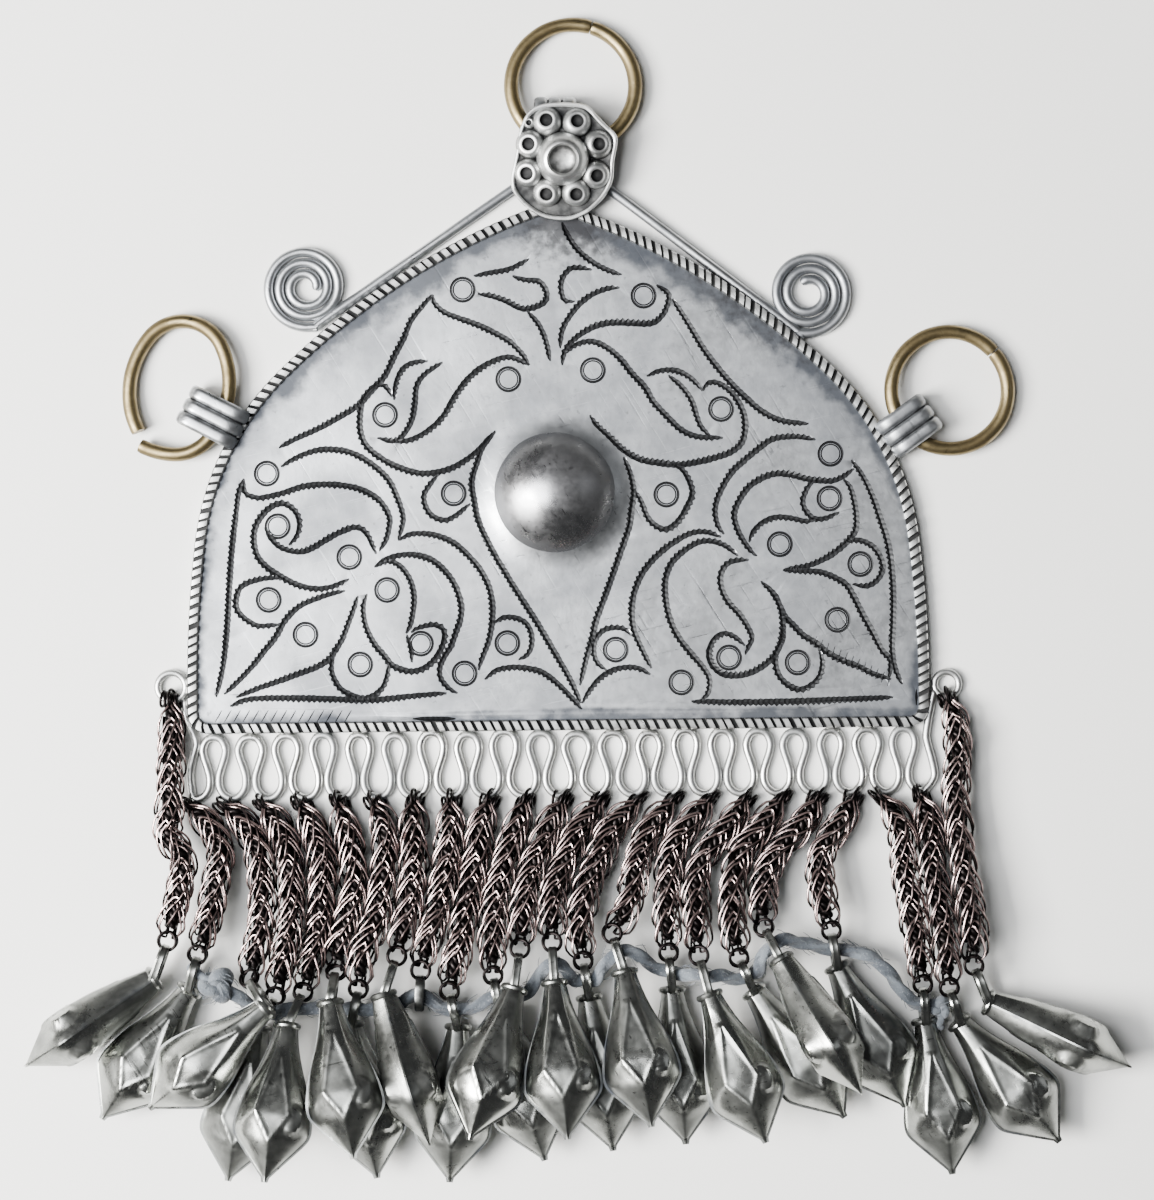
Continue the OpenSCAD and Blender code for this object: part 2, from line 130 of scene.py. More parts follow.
class Shader:
    """A procedural material under construction."""

    def __init__(self, name: str) -> None:
        """Start a material with its principled shader and its place on the object.

        Args:
            name: Its name.
        """
        self.material = bpy.data.materials.new(name)
        self.material.use_nodes = True
        self.tree = self.material.node_tree
        self.principled = self.tree.nodes["Principled BSDF"]
        self.place = self.node("ShaderNodeTexCoord", {}, {}, "Object")

    def node(self, kind: str, settings: dict, inputs: dict, output: Any = 0) -> Value:
        """Add one node.

        Args:
            kind: The node's type.
            settings: Its own settings.
            inputs: Values, numbers or colours by socket name or number.
            output: The socket that is handed on.

        Returns:
            The chosen output.
        """
        made = self.tree.nodes.new(kind)
        for key, value in settings.items():
            setattr(made, key, value)
        for key, value in inputs.items():
            if isinstance(value, Value):
                self.tree.links.new(value.socket, made.inputs[key])
            else:
                made.inputs[key].default_value = value
        return Value(self, made.outputs[output])

    def noise(self, size: float, detail: float = 4.0, stretch: Sequence[float] = (1, 1, 1),
              turn: float = 0.0) -> Value:
        """Clouds of a size in millimetres.

        Args:
            size: Width of a cloud.
            detail: Finer octaves.
            stretch: How many times longer they are along the three axes.
            turn: Turn of those axes about Z, in degrees.

        Returns:
            A value round one half.
        """
        axes = {"Vector": self.place, "Scale": tuple(stretch), "Rotation": (0.0, 0.0, math.radians(turn))}
        place = self.node("ShaderNodeMapping", {"vector_type": "TEXTURE"}, axes)
        clouds = {"Vector": place, "Scale": 1 / (size * MM), "Detail": detail}
        return self.node("ShaderNodeTexNoise", {}, clouds)

    def blend(self, factor: Value, low: Any, high: Any) -> Value:
        """Mix two colours.

        Args:
            factor: 0 gives low and 1 gives high.
            low: A colour, as three numbers or a Value.
            high: The other colour.

        Returns:
            The mixed colour.
        """
        ends = [c if isinstance(c, Value) else (*c, 1.0) for c in (low, high)]
        return self.node("ShaderNodeMix", {"data_type": "RGBA"}, {0: factor, 6: ends[0], 7: ends[1]}, 2)

    def marks_of_light_and_wear(self, channel: str) -> Value:
        """One channel of the piece's colours of painted shade, painted highlight and wear: Red, Green or
        Blue.
        """
        paint = self.node("ShaderNodeAttribute", {"attribute_name": "wear"}, {}, "Color")
        return self.node("ShaderNodeSeparateColor", {}, {"Color": paint}, channel)

    def relief(self, height: Value, depth: float) -> Value:
        """Bump of a depth in millimetres."""
        return self.node("ShaderNodeBump", {}, {"Height": height, "Distance": depth * MM, "Strength": 1.0})

    def finish(self, **sockets: Any) -> bpy.types.Material:
        """Feed the principled shader.

        Args:
            sockets: Its inputs, with _ for a space.

        Returns:
            The finished material.
        """
        for key, value in sockets.items():
            target = self.principled.inputs[key.replace("_", " ")]
            if isinstance(value, Value):
                self.tree.links.new(value.socket, target)
            else:
                target.default_value = (*value, 1.0) if isinstance(value, tuple) else value
        return self.material


@dataclass(frozen=True)
class WornMetal:
    """A metal with clouds of tarnish, fine scratches and painted shade in its hollows.

    Painted shade and tarnish darken it: red is painted shade in cuts and hollows, green a tarnished band
    with painted shade at edges and feet, blue painted shade under and between parts.
    """

    name: str
    bright: tuple = (0.54, 0.555, 0.57)
    dull: tuple = (0.22, 0.23, 0.245)
    # Colour of specks, and of the painted shade in cuts and hollows.
    dark: tuple = (0.004, 0.0042, 0.005)
    # Colour of the tarnished band, which also paints shade at edges and feet.
    tarnish_and_shade: tuple = (0.035, 0.040, 0.050)
    # Colour of painted shade under and between parts.
    shade_and_grime: tuple = (0.030, 0.029, 0.030)
    cloud: float = 14.0
    rough: float = 0.27
    scratch: float = 0.35
    pits: float = 0.04
    specks: float = 0.3
    painted: bool = True

    def material(self) -> bpy.types.Material:
        """Write the material.

        Returns:
            The material.
        """
        s = Shader(self.name)
        clouds = s.noise(self.cloud, 6).above(0.36, 0.64)
        grain = s.noise(self.cloud / 9, 5)
        streaks = s.noise(0.5, 3, (1, 30, 1), 32).above(0.62, 0.70)
        streaks = streaks.most(s.noise(0.45, 3, (26, 1, 1), 14).above(0.63, 0.71))
        scraped = tuple(min(1.0, 1.25 * c) for c in self.bright)
        colour = s.blend(clouds * 0.75 + grain * 0.3 - 0.08, self.dull, self.bright)
        colour = s.blend(streaks * self.scratch * 0.5, colour, scraped)
        spots = s.noise(0.9, 4).above(0.66, 0.74)
        colour = s.blend(spots * self.specks, colour, self.dark)
        rough = self.rough + 0.16 * (1 - clouds) + 0.14 * grain - 0.08 * streaks
        metal: Any = 1.0
        if self.painted:
            colour, rough, metal = self.light_and_wear_over(s, colour, rough)
        bumps = s.noise(5.5, 3) * 1.0 + 0.3 * s.noise(0.7, 4) - 0.12 * streaks
        return s.finish(Base_Color=colour, Roughness=rough, Metallic=metal, Normal=s.relief(bumps, self.pits))

    def light_and_wear_over(self, s: Shader, colour: Value, rough: Value) -> tuple[Value, Value, Value]:
        """Darken the metal with tarnish and painted shade where the piece's colours say so.

        Args:
            s: The material under construction.
            colour: The clean metal's colour.
            rough: Its roughness.

        Returns:
            The darkened colour, roughness and metalness.
        """
        # Green: a tarnished band with painted shade at edges and feet.
        rim = s.marks_of_light_and_wear("Green")
        tarnish_shade_band = (rim + 1.0 * (s.noise(3.6, 6) - 0.5) + 0.5 * (s.noise(21, 3) - 0.5)).above(0.42, 0.86)
        # Red: painted shade in cuts and hollows.
        cut = s.marks_of_light_and_wear("Red")
        # Blue: painted shade under and between parts.
        painted_shade = (s.marks_of_light_and_wear("Blue") + 1.1 * (s.noise(1.3, 7) - 0.5)).above(0.28, 0.8)
        colour = s.blend(tarnish_shade_band * 0.88, colour, self.tarnish_and_shade)
        colour = s.blend(painted_shade * 0.78, colour, self.shade_and_grime)
        colour = s.blend(cut, colour, self.dark)
        return colour, rough + 0.12 * tarnish_shade_band + 0.3 * cut, 1 - 0.1 * cut


@dataclass(frozen=True)
class ChainMetal:
    """Brown tarnished links with coppery rubbed places, painted as highlights on the wires' upper, front
    sides.
    """

    name: str = "tarnished_links"
    # Colour of the tarnished wires, also their shaded sides beside the painted highlights.
    tarnish_and_shade: tuple = (0.009, 0.007, 0.007)
    # Colour of the rubbed places, which also paints the highlights along the wires.
    copper: tuple = (0.44, 0.32, 0.305)

    def material(self) -> bpy.types.Material:
        """Write the material.

        Returns:
            The material.
        """
        s = Shader(self.name)
        # Rubbed copper painted as highlights on the wires' upper, front sides.
        rubbed_highlight = (s.marks_of_light_and_wear("Red") + 0.5 * (s.noise(1.4, 4) - 0.5)).above(0.3, 0.95)
        colour = s.blend(rubbed_highlight, self.tarnish_and_shade, self.copper)
        rough = 0.36 - 0.10 * rubbed_highlight
        pits = s.relief(s.noise(0.5, 3), 0.03)
        return s.finish(Base_Color=colour, Roughness=rough, Metallic=0.9, Normal=pits)


@dataclass(frozen=True)
class Cotton:
    """Blue grey cotton, soft and fibrous."""

    name: str = "cotton_string"
    shadow: tuple = (0.042, 0.050, 0.062)
    light: tuple = (0.115, 0.132, 0.150)
    fibre: tuple = (0.30, 0.325, 0.35)

    def material(self) -> bpy.types.Material:
        """Write the material.

        Returns:
            The material.
        """
        s = Shader(self.name)
        fibres = s.noise(0.28, 5)
        colour = s.blend(s.noise(5.0, 4).above(0.35, 0.65), self.shadow, self.light)
        colour = s.blend(fibres.above(0.55, 0.75) * 0.5, colour, self.fibre)
        threads = s.relief(fibres, 0.16)
        return s.finish(Base_Color=colour, Roughness=0.92, Metallic=0.0, Normal=threads, Sheen_Weight=0.25)


# Making meshes
def unit(v: np.ndarray) -> np.ndarray:
    """Vectors brought to length one."""
    return v / np.maximum(np.linalg.norm(v, axis=-1, keepdims=True), 1e-9)


def ray(degrees: float) -> np.ndarray:
    """The plane direction of an angle."""
    return np.array([math.cos(math.radians(degrees)), math.sin(math.radians(degrees))])


def run_along(way: np.ndarray) -> np.ndarray:
    """Distance along a line at each of its points."""
    return np.concatenate([[0], np.cumsum(np.linalg.norm(np.diff(way, axis=0), axis=1))])


def directions(way: np.ndarray, closed: bool) -> np.ndarray:
    """Direction of a line at each of its points.

    Args:
        way: The points.
        closed: Whether the line returns to its start.

    Returns:
        Unit vectors.
    """
    before, after = np.roll(way, 1, 0), np.roll(way, -1, 0)
    if not closed:
        before[0], after[-1] = way[0], way[-1]
    return unit(after - before)


def arc(centre: Sequence[float], radius: float, start: float, end: float, steps: int, first: int = 0) -> list:
    """Points on an arc in the plane.

    Args:
        centre: Its centre.
        radius: Its radius.
        start: First angle in degrees.
        end: Last angle.
        steps: Number of steps.
        first: Steps that are left out at the start.

    Returns:
        The points.
    """
    angles = [start + (end - start) * i / steps for i in range(first, steps + 1)]
    return [np.array(centre) + radius * ray(angle) for angle in angles]


def smooth_way(points: Points, step: float, closed: bool = False) -> np.ndarray:
    """A rounded line through points, with even steps.

    Args:
        points: The points it runs through.
        step: Distance between the new points.
        closed: Whether it returns to its start.

    Returns:
        The new points; a closed line doesn't repeat its first.
    """
    p = np.array(points, float)
    ends = (p[-1:], p[:2]) if closed else (2 * p[:1] - p[1:2], 2 * p[-1:] - p[-2:-1])
    q = np.concatenate([ends[0], p, ends[1]])
    fine = []
    for i in range(len(q) - 3):
        a, b, c, d = q[i:i + 4]
        t = np.linspace(0, 1, 12, endpoint=False)[:, None]
        fine.append(0.5 * (2 * b + (c - a) * t + (2 * a - 5 * b + 4 * c - d) * t ** 2
                           + (3 * b - a - 3 * c + d) * t ** 3))
    way = np.concatenate(fine + [q[-2:-1]])
    run = run_along(way)
    count = max(3, round(run[-1] / step))
    at = np.linspace(0, run[-1], count + 1)
    if closed:
        at = at[:-1]
    return np.stack([np.interp(at, run, way[:, k]) for k in range(p.shape[1])], axis=1)


def carried_frames(way: np.ndarray, closed: bool = False) -> tuple[np.ndarray, np.ndarray, np.ndarray]:
    """Directions along, beside and above a line, carried without twist.

    Args:
        way: Points of the line.
        closed: Whether it returns to its start.

    Returns:
        Three arrays of unit vectors.
    """
    along = directions(way, closed)
    first = np.array([0.0, 0.0, 1.0]) if abs(along[0][2]) < 0.9 else np.array([1.0, 0.0, 0.0])
    ups = [unit(first - along[0] * (first @ along[0]))]
    for t in along[1:]:
        ups.append(unit(ups[-1] - t * (ups[-1] @ t)))
    up = np.array(ups)
    if closed:
        side0 = np.cross(along[0], up[0])
        last = unit(up[-1] - along[0] * (up[-1] @ along[0]))
        off = math.atan2(last @ side0, last @ up[0])
        turn = -off * np.arange(len(way)) / len(way)
        side = np.cross(along, up)
        up = up * np.cos(turn)[:, None] + side * np.sin(turn)[:, None]
    return along, np.cross(along, up), up


def swept(rings: np.ndarray, closed: bool = False) -> tuple[np.ndarray, list]:
    """Skin over rings of points; open ends get a face.

    Args:
        rings: Array of rings, each with the same number of points.
        closed: Whether the last ring joins the first.

    Returns:
        Vertices and faces.
    """
    n, m = rings.shape[:2]
    faces = []
    for i in range(n if closed else n - 1):
        j = (i + 1) % n
        for k in range(m):
            after = (k + 1) % m
            faces.append((i * m + k, i * m + after, j * m + after, j * m + k))
    if not closed:
        faces.append(tuple(range(m - 1, -1, -1)))
        faces.append(tuple((n - 1) * m + k for k in range(m)))
    return rings.reshape(-1, 3), faces


def wire(way: np.ndarray, radius: Any, sides: int = 12, closed: bool = False) -> tuple:
    """A round wire along a line, with rounded ends.

    Args:
        way: Points of its middle.
        radius: One radius, or one for each point.
        sides: Sides of the wire.
        closed: Whether it returns to its start.

    Returns:
        Vertices and faces.
    """
    r = np.broadcast_to(np.asarray(radius, float), (len(way),)).copy()
    if not closed:
        r[[0, -1]] *= 0.6
    _, side, up = carried_frames(way, closed)
    a = (np.arange(sides) * 2 * np.pi / sides)[None, :, None]
    rings = way[:, None] + r[:, None, None] * (np.cos(a) * side[:, None] + np.sin(a) * up[:, None])
    return swept(rings, closed)


def lathe(profile: Points, steps: int = 48) -> tuple[np.ndarray, list]:
    """Turn a profile of (radius, height) about Z, open at both ends unless the radius is nothing.

    Args:
        profile: The outline, from one end to the other.
        steps: Steps round the axis.

    Returns:
        Vertices and faces.
    """
    a = np.arange(steps) * 2 * np.pi / steps
    p = np.array(profile, float)
    rings = np.stack([p[:, :1] * np.cos(a), p[:, :1] * np.sin(a), np.repeat(p[:, 1:], steps, 1)], axis=2)
    return swept(rings)


def joined(parts: Iterable[tuple]) -> tuple[np.ndarray, list]:
    """Several sets of vertices and faces as one.

    Args:
        parts: The sets.

    Returns:
        All vertices, and all faces with their new numbers.
    """
    verts, faces, base = [], [], 0
    for v, f in parts:
        verts.append(np.asarray(v, float))
        faces += [tuple(base + i for i in face) for face in f]
        base += len(v)
    return np.concatenate(verts), faces


def moved(part: tuple, at: Sequence[float] = (0, 0, 0), turn: float = 0.0, tilt: float = 0.0,
          axis: str = "X") -> tuple[np.ndarray, list]:
    """A part tilted about one axis, then turned about Z, then moved.

    Args:
        part: Vertices and faces.
        at: The move.
        turn: Turn about Z in degrees.
        tilt: Tilt in degrees.
        axis: The axis of the tilt.

    Returns:
        The moved vertices, and the faces.
    """
    m = Matrix.Rotation(math.radians(turn), 3, "Z") @ Matrix.Rotation(math.radians(tilt), 3, axis)
    return np.asarray(part[0]) @ np.array(m).T + np.asarray(at, float), part[1]


@dataclass
class Piece:
    """A finished piece of the pendant: its mesh, its finish and where it belongs."""

    name: str
    part: tuple
    material: bpy.types.Material
    slot: Slot
    body: Body = Body.PENDANT
    nodes: tuple = ()
    smooth: float = 35.0
    wear: Any = None

    def make(self) -> bpy.types.Object:
        """Put the piece in the scene.

        Returns:
            Its object, at the origin.
        """
        verts, faces = self.part
        mesh = bpy.data.meshes.new(self.name)
        mesh.from_pydata([tuple(v) for v in np.asarray(verts) * MM], [], faces)
        mesh.update()
        obj = bpy.data.objects.new(self.name, mesh)
        bpy.context.scene.collection.objects.link(obj)
        mesh.materials.append(self.material)
        self.turn_outwards(obj)
        if self.wear is not None:
            self.paint(mesh)
        if self.smooth > 0:
            bpy.ops.object.shade_smooth_by_angle(angle=math.radians(self.smooth))
        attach(obj, self.body.value)
        if self.nodes:
            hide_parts(*self.nodes)
        LOG.info("%s: %d faces", self.name, len(faces))
        return obj

    @staticmethod
    def turn_outwards(obj: bpy.types.Object) -> None:
        """Make the faces of each shell of an object look outwards.

        Args:
            obj: The object, which becomes the active one.
        """
        bpy.ops.object.select_all(action="DESELECT")
        obj.select_set(True)
        bpy.context.view_layer.objects.active = obj
        bpy.ops.object.mode_set(mode="EDIT")
        bpy.ops.mesh.select_all(action="SELECT")
        bpy.ops.mesh.normals_make_consistent(inside=False)
        bpy.ops.object.mode_set(mode="OBJECT")

    def paint(self, mesh: bpy.types.Mesh) -> None:
        """Store the colours of painted light and wear: a row for each vertex, and the cuts for each face.

        Args:
            mesh: The piece's mesh.
        """
        rows, cuts = self.wear
        at = np.empty(len(mesh.loops), int)
        mesh.loops.foreach_get("vertex_index", at)
        full = np.ones((len(at), 4))
        full[:, :3] = np.asarray(rows, float)[at]
        if cuts is not None:
            full[:, 0] = np.repeat(cuts, [len(face.vertices) for face in mesh.polygons])
        mesh.color_attributes.new("wear", "FLOAT_COLOR", "CORNER").data.foreach_set("color", full.ravel())


# The plate
@dataclass
class PlateShape:
    """Outline of the plate and how it lies."""

    place: tuple = (-2.65, -20.25)
    turn: float = 0.6
    half_w: float = 56.5
    corner_r: float = 3.2
    side_start: float = 7.0
    side_r: float = 180.0
    side_turn: float = 7.0
    shoulder_r: float = 44.0
    shoulder_turn: float = 39.0
    top_r: float = 112.0
    boss_at: tuple = (-0.2, 36.2)
    sheet_t: float = 1.4
    half_rim: float = 0.8
    loop_step: float = 5.54

    def outline(self, inset: float, fine: int = 1) -> np.ndarray:
        """Points of the outline, counter-clockwise from the lower right.

        Args:
            inset: Distance inside the rim's outer edge.
            fine: How many times finer than the plain outline.

        Returns:
            The points, in the plate's own frame.
        """
        side = np.array([self.half_w - self.side_r, self.side_start])
        shoulder = side + (self.side_r - self.shoulder_r) * ray(self.side_turn)
        both = self.side_turn + self.shoulder_turn
        top = shoulder + (self.shoulder_r - self.top_r) * ray(both)
        last = math.degrees(math.acos(-top[0] / (self.top_r - inset)))
        half = (arc((self.half_w - self.corner_r, self.corner_r), self.corner_r - inset, -90, 0, 5 * fine)
                + arc(side, self.side_r - inset, 0, self.side_turn, 3 * fine)
                + arc(shoulder, self.shoulder_r - inset, self.side_turn, both, 10 * fine, 1)
                + arc(top, self.top_r - inset, both, last, 7 * fine, 1))
        return np.array(half + [np.array([-p[0], p[1]]) for p in reversed(half[:-1])])

    def placed(self, part: tuple) -> tuple:
        """A part of the plate's own frame, where the plate lies."""
        return moved(part, (*self.place, 0.0), self.turn)

    def placed_points(self, points: np.ndarray) -> np.ndarray:
        """Plane points of the plate's own frame, where the plate lies."""
        c, s = ray(self.turn)
        return np.asarray(points) @ np.array([[c, s], [-s, c]]) + np.array(self.place)

    def boss_centre(self) -> np.ndarray:
        """Middle of the boss, where the plate lies."""
        return self.placed_points(np.array([self.boss_at]))[0]


PLATE = PlateShape()


@dataclass
class Stroke:
    """One engraved line.

    Points are (x, y) in millimetres; w is its half width, bite how uneven its edges are, and shades are
    how dark its steps are by turns.
    """

    points: np.ndarray
    w: float = 0.49
    bite: float = 0.17
    depth: float = 0.34
    closed: bool = False
    ring_shade: float = 0.95
    shades: tuple = (0.90, 0.955)

    def shade(self, step: int) -> float:
        """How dark a step of the cut is; the steps of an open line take turns."""
        return self.ring_shade if self.closed else self.shades[step % 2]


def within(point: np.ndarray, shape: np.ndarray) -> bool:
    """Whether a point lies in a convex outline that runs counter-clockwise."""
    d, e = np.roll(shape, -1, 0) - shape, point - shape
    return bool((d[:, 0] * e[:, 1] - d[:, 1] * e[:, 0] > 0).all())


def distance(points: np.ndarray, shape: np.ndarray) -> np.ndarray:
    """Distance of each point from a closed outline.

    Args:
        points: Plane points.
        shape: The outline.

    Returns:
        One distance for each point.
    """
    best = np.full(len(points), 1e9)
    for a, b in zip(shape, np.roll(shape, -1, 0)):
        d = b - a
        t = np.clip((points - a) @ d / max(d @ d, 1e-12), 0, 1)
        best = np.minimum(best, np.linalg.norm(points - a - t[:, None] * d, axis=1))
    return best


# Where the pendant's origin is on the photograph, and its picture elements to a millimetre
PHOTO_ORIGIN = (576, 597.5)
PHOTO_SCALE = 6.6


def drawn(points: Points) -> np.ndarray:
    """Places read off the photograph, as points in the pendant's frame.

    Args:
        points: Picture elements, counted from the photograph's upper left corner.

    Returns:
        The points in millimetres.
    """
    p = np.array(points, float)
    x, y = p[:, 0] - PHOTO_ORIGIN[0], PHOTO_ORIGIN[1] - p[:, 1]
    return np.stack([x / PHOTO_SCALE, y / PHOTO_SCALE], axis=1)


CIRCLES = (
    (462, 288), (644, 294), (508, 378), (593, 369), (384, 414), (722, 408), (265, 473), (832, 453),
    (453, 493), (667, 494), (276, 526), (831, 498), (348, 557), (781, 544), (386, 590), (267, 600),
    (862, 564), (304, 635), (839, 620), (420, 644), (359, 665), (730, 658), (799, 663), (507, 643.5),
    (616, 650), (464, 674), (682, 683),
)
LEFT_LINES = (
    ((242, 478), (237, 490), (234, 513), (230, 547), (227, 589), (225, 627), (221, 666), (214, 698)),
    ((242, 478), (243, 492), (253, 497), (262, 497), (280, 493), (302, 486), (325, 484), (348, 486),
     (364, 491), (379, 501), (388, 516), (388, 526), (385, 539), (378, 551)),
    ((279, 466), (295, 457), (314, 450), (333, 449), (352, 453), (371, 464), (387, 479), (396, 497),
     (402, 516), (400, 530), (397, 540)),
    ((397, 540), (410, 534), (429, 534), (448, 540), (463, 551), (479, 569), (489, 589), (492, 612),
     (489, 638), (481, 660), (478, 671)),
    ((375, 554), (366, 534), (356, 527), (343, 530), (327, 538), (314, 546), (302, 551), (291, 551),
     (279, 547), (270, 539), (263, 527)),
    ((287, 545), (295, 536), (298, 524), (295, 513), (287, 505), (279, 503), (270, 506), (260, 515),
     (253, 528), (252, 543), (256, 557), (266, 568), (278, 576), (289, 582), (302, 587), (318, 589),
     (333, 586), (348, 579)),
    ((281, 578), (266, 578), (251, 581), (239, 587), (234, 599), (235, 610), (243, 619), (255, 626),
     (266, 626), (278, 625)),
    ((344, 591), (329, 594), (314, 599), (300, 605), (289, 614), (281, 624), (274, 637), (262, 652),
     (251, 666), (237, 681), (222, 695)),
    ((357, 596), (352, 610), (346, 626), (341, 639), (333, 652), (327, 660), (314, 668), (295, 675),
     (276, 682), (256, 689), (234, 698)),
    ((333, 652), (330, 666), (331, 675), (337, 687), (346, 694), (360, 699), (371, 697), (381, 689),
     (386, 677), (388, 664)),
    ((366, 594), (362, 606), (363, 620), (367, 633), (375, 647), (383, 656), (390, 665), (400, 670),
     (411, 672), (423, 669), (434, 660), (441, 648), (444, 637), (442, 629), (434, 625), (425, 626),
     (415, 629), (410, 633)),
    ((373, 567), (383, 562), (392, 562), (402, 569), (410, 582), (413, 597), (412, 612), (409, 626),
     (405, 634)),
    ((406, 635), (410, 650), (411, 663)),
    ((373, 567), (385, 559), (400, 555), (415, 555), (431, 560), (444, 571), (454, 585), (460, 603),
     (460, 618), (455, 633), (450, 647), (444, 656), (439, 668), (440, 679), (448, 689), (457, 694)),
    ((228, 707), (243, 701), (262, 699), (295, 699), (333, 700), (362, 701), (383, 700), (410, 697),
     (432, 695), (446, 694)),
    ((438, 474), (429, 484), (423, 495), (425, 507), (432, 516), (444, 520), (454, 516), (463, 509),
     (470, 503)),
    ((391, 396), (384, 385), (374, 385), (363, 396), (359, 411), (359, 430), (365, 445), (379, 457),
     (398, 467), (422, 473), (447, 469), (466, 459), (480, 447), (495, 430)),
    ((393, 399), (394, 387), (398, 374), (405, 365), (415, 361), (427, 360)),
    ((442, 361), (425, 372), (416, 384), (414, 401), (411, 418), (403, 433), (393, 440), (376, 437)),
    ((393, 441), (410, 439), (427, 430), (442, 416), (454, 396), (464, 382), (476, 370), (493, 360),
     (510, 356), (529, 364)),
    ((432, 293), (434, 302), (444, 311), (459, 317), (478, 324), (495, 332), (510, 341), (522, 353),
     (529, 364)),
    ((432, 293), (422, 304), (410, 319), (403, 336), (393, 355), (384, 374), (371, 389), (357, 404),
     (338, 416), (316, 428), (296, 437), (277, 447)),
    ((473, 274), (490, 271), (510, 267), (529, 257)),
    ((512, 274), (524, 278), (539, 280), (546, 290), (545, 299), (536, 305), (522, 307), (505, 299),
     (490, 294), (477, 292)),
    ((527, 309), (539, 324), (546, 341), (550, 360)),
)
MIDDLE_LINES = (
    ((495, 431), (483, 445), (476, 463), (471, 482), (474, 502), (478, 521), (490, 547), (505, 573),
     (520, 597), (538, 625), (555, 654), (570, 680), (581, 704)),
    ((624, 456), (631, 474), (634, 491), (632, 508), (629, 528), (620, 554), (611, 580), (603, 602),
     (596, 621), (592, 638), (587, 656), (583, 673), (580, 686)),
    ((484, 680), (496, 671), (512, 668), (527, 669), (542, 673), (557, 684), (570, 697), (582, 710)),
    ((493, 623), (503, 618), (514, 618), (525, 623), (531, 634), (531, 647), (526, 656), (518, 660)),
    ((582, 704), (590, 691), (600, 679), (613, 671), (626, 668), (639, 669), (651, 675)),
    ((632, 636), (624, 629), (613, 628), (603, 631), (595, 641), (594, 654), (598, 664), (607, 671)),
)
RIGHT_LINES = (
    ((562, 220), (567, 232), (577, 247), (592, 260), (607, 268), (622, 273)),
    ((592, 268), (580, 266), (570, 267), (562, 277), (561, 289), (565, 299), (575, 300)),
    ((620, 286), (607, 287), (592, 293), (580, 302), (570, 314), (562, 329), (560, 347)),
    ((657, 283), (668, 291), (669, 299), (664, 312), (654, 321), (640, 322), (622, 321), (605, 322),
     (590, 327), (575, 337), (565, 349), (562, 364)),
    ((673, 297), (689, 322), (704, 347), (719, 367), (732, 382), (746, 396), (764, 411), (784, 420),
     (810, 423)),
    ((565, 352), (575, 344), (590, 340), (605, 345), (620, 357), (632, 372), (645, 386), (654, 401),
     (667, 415), (682, 429), (699, 436), (724, 437)),
    ((647, 375), (659, 370), (674, 369), (687, 374), (697, 382), (703, 390)),
    ((669, 374), (682, 385), (692, 399), (697, 414), (702, 426), (712, 436)),
    ((703, 390), (709, 382), (719, 382), (732, 391), (742, 406), (746, 421), (744, 439), (734, 450),
     (719, 456), (699, 461), (679, 464), (659, 462), (642, 459), (625, 450), (610, 436), (597, 424),
     (590, 414)),
    ((817, 439), (801, 436), (786, 436), (772, 439), (758, 449), (746, 459), (733, 471), (723, 487),
     (717, 502), (716, 514), (719, 526), (725, 534)),
    ((856, 468), (846, 475), (835, 480), (823, 480), (807, 478), (793, 474), (778, 473), (764, 477),
     (750, 486), (740, 500), (735, 514), (738, 528), (744, 540), (752, 551), (758, 556)),
    ((853, 459), (864, 475), (874, 495), (882, 518), (889, 540), (893, 563), (895, 593), (895, 620),
     (894, 649), (897, 669), (904, 685)),
    ((817, 479), (809, 487), (804, 500), (807, 510), (815, 518), (827, 518), (841, 512)),
    ((750, 542), (754, 532), (764, 522), (778, 517), (793, 518), (807, 521), (817, 520)),
    ((845, 478), (852, 487), (856, 502), (858, 516), (857, 530), (848, 542), (835, 553), (821, 561),
     (807, 566), (784, 570)),
    ((846, 542), (860, 540), (874, 546), (883, 559), (884, 571), (878, 581), (868, 586), (854, 584)),
    ((784, 570), (803, 571), (821, 572), (835, 577), (848, 585), (856, 598), (864, 614), (874, 632),
     (884, 651), (892, 661), (891, 679)),
    ((762, 581), (772, 591), (780, 604), (786, 616), (795, 626), (805, 636), (815, 642), (829, 653),
     (844, 661), (860, 667), (874, 674), (893, 680)),
    ((762, 581), (776, 595), (782, 610), (784, 626), (782, 642), (776, 655), (766, 665), (752, 673),
     (738, 676), (723, 674), (713, 665), (710, 653), (715, 640), (725, 634), (735, 637), (746, 646)),
    ((786, 626), (784, 640), (777, 655), (778, 671), (786, 683), (799, 690), (811, 687), (821, 677),
     (824, 663), (821, 651)),
    ((750, 560), (740, 560), (729, 563), (722, 573), (722, 587), (729, 602), (740, 614), (748, 626),
     (753, 638), (750, 646), (746, 655)),
    ((739, 556), (727, 546), (713, 541), (699, 542), (684, 551), (672, 563), (666, 579), (666, 598),
     (670, 618), (678, 636), (691, 653), (703, 667), (710, 679), (709, 693), (701, 702)),
    ((722, 537), (709, 532), (695, 532), (681, 538), (661, 552), (644, 571), (635, 591), (632, 610),
     (634, 630), (642, 649), (652, 669)),
    ((635, 489), (642, 502), (648, 517), (657, 526), (667, 529), (678, 522), (687, 508), (693, 493),
     (689, 478), (681, 467), (670, 463)),
    ((692, 702), (740, 703), (800, 702), (850, 700), (895, 698)),
)


# Rows of short cuts: how many, where the first starts, the step to the next and the reach of each
CUT_ROWS = ((15, (213, 723), (9.3, 0), (7, -12)), (13, (815, 648), (6.2, 3.2), (3, -11)))
LOW_DENT = ((412, 719.5), (455, 719.5))
RIGHT_DENT = ((918.5, 690), (918.5, 706))
# Radius and half width of a circle's two lines, in millimetres
RING_LINES = ((1.80, 0.21), (1.43, 0.11))


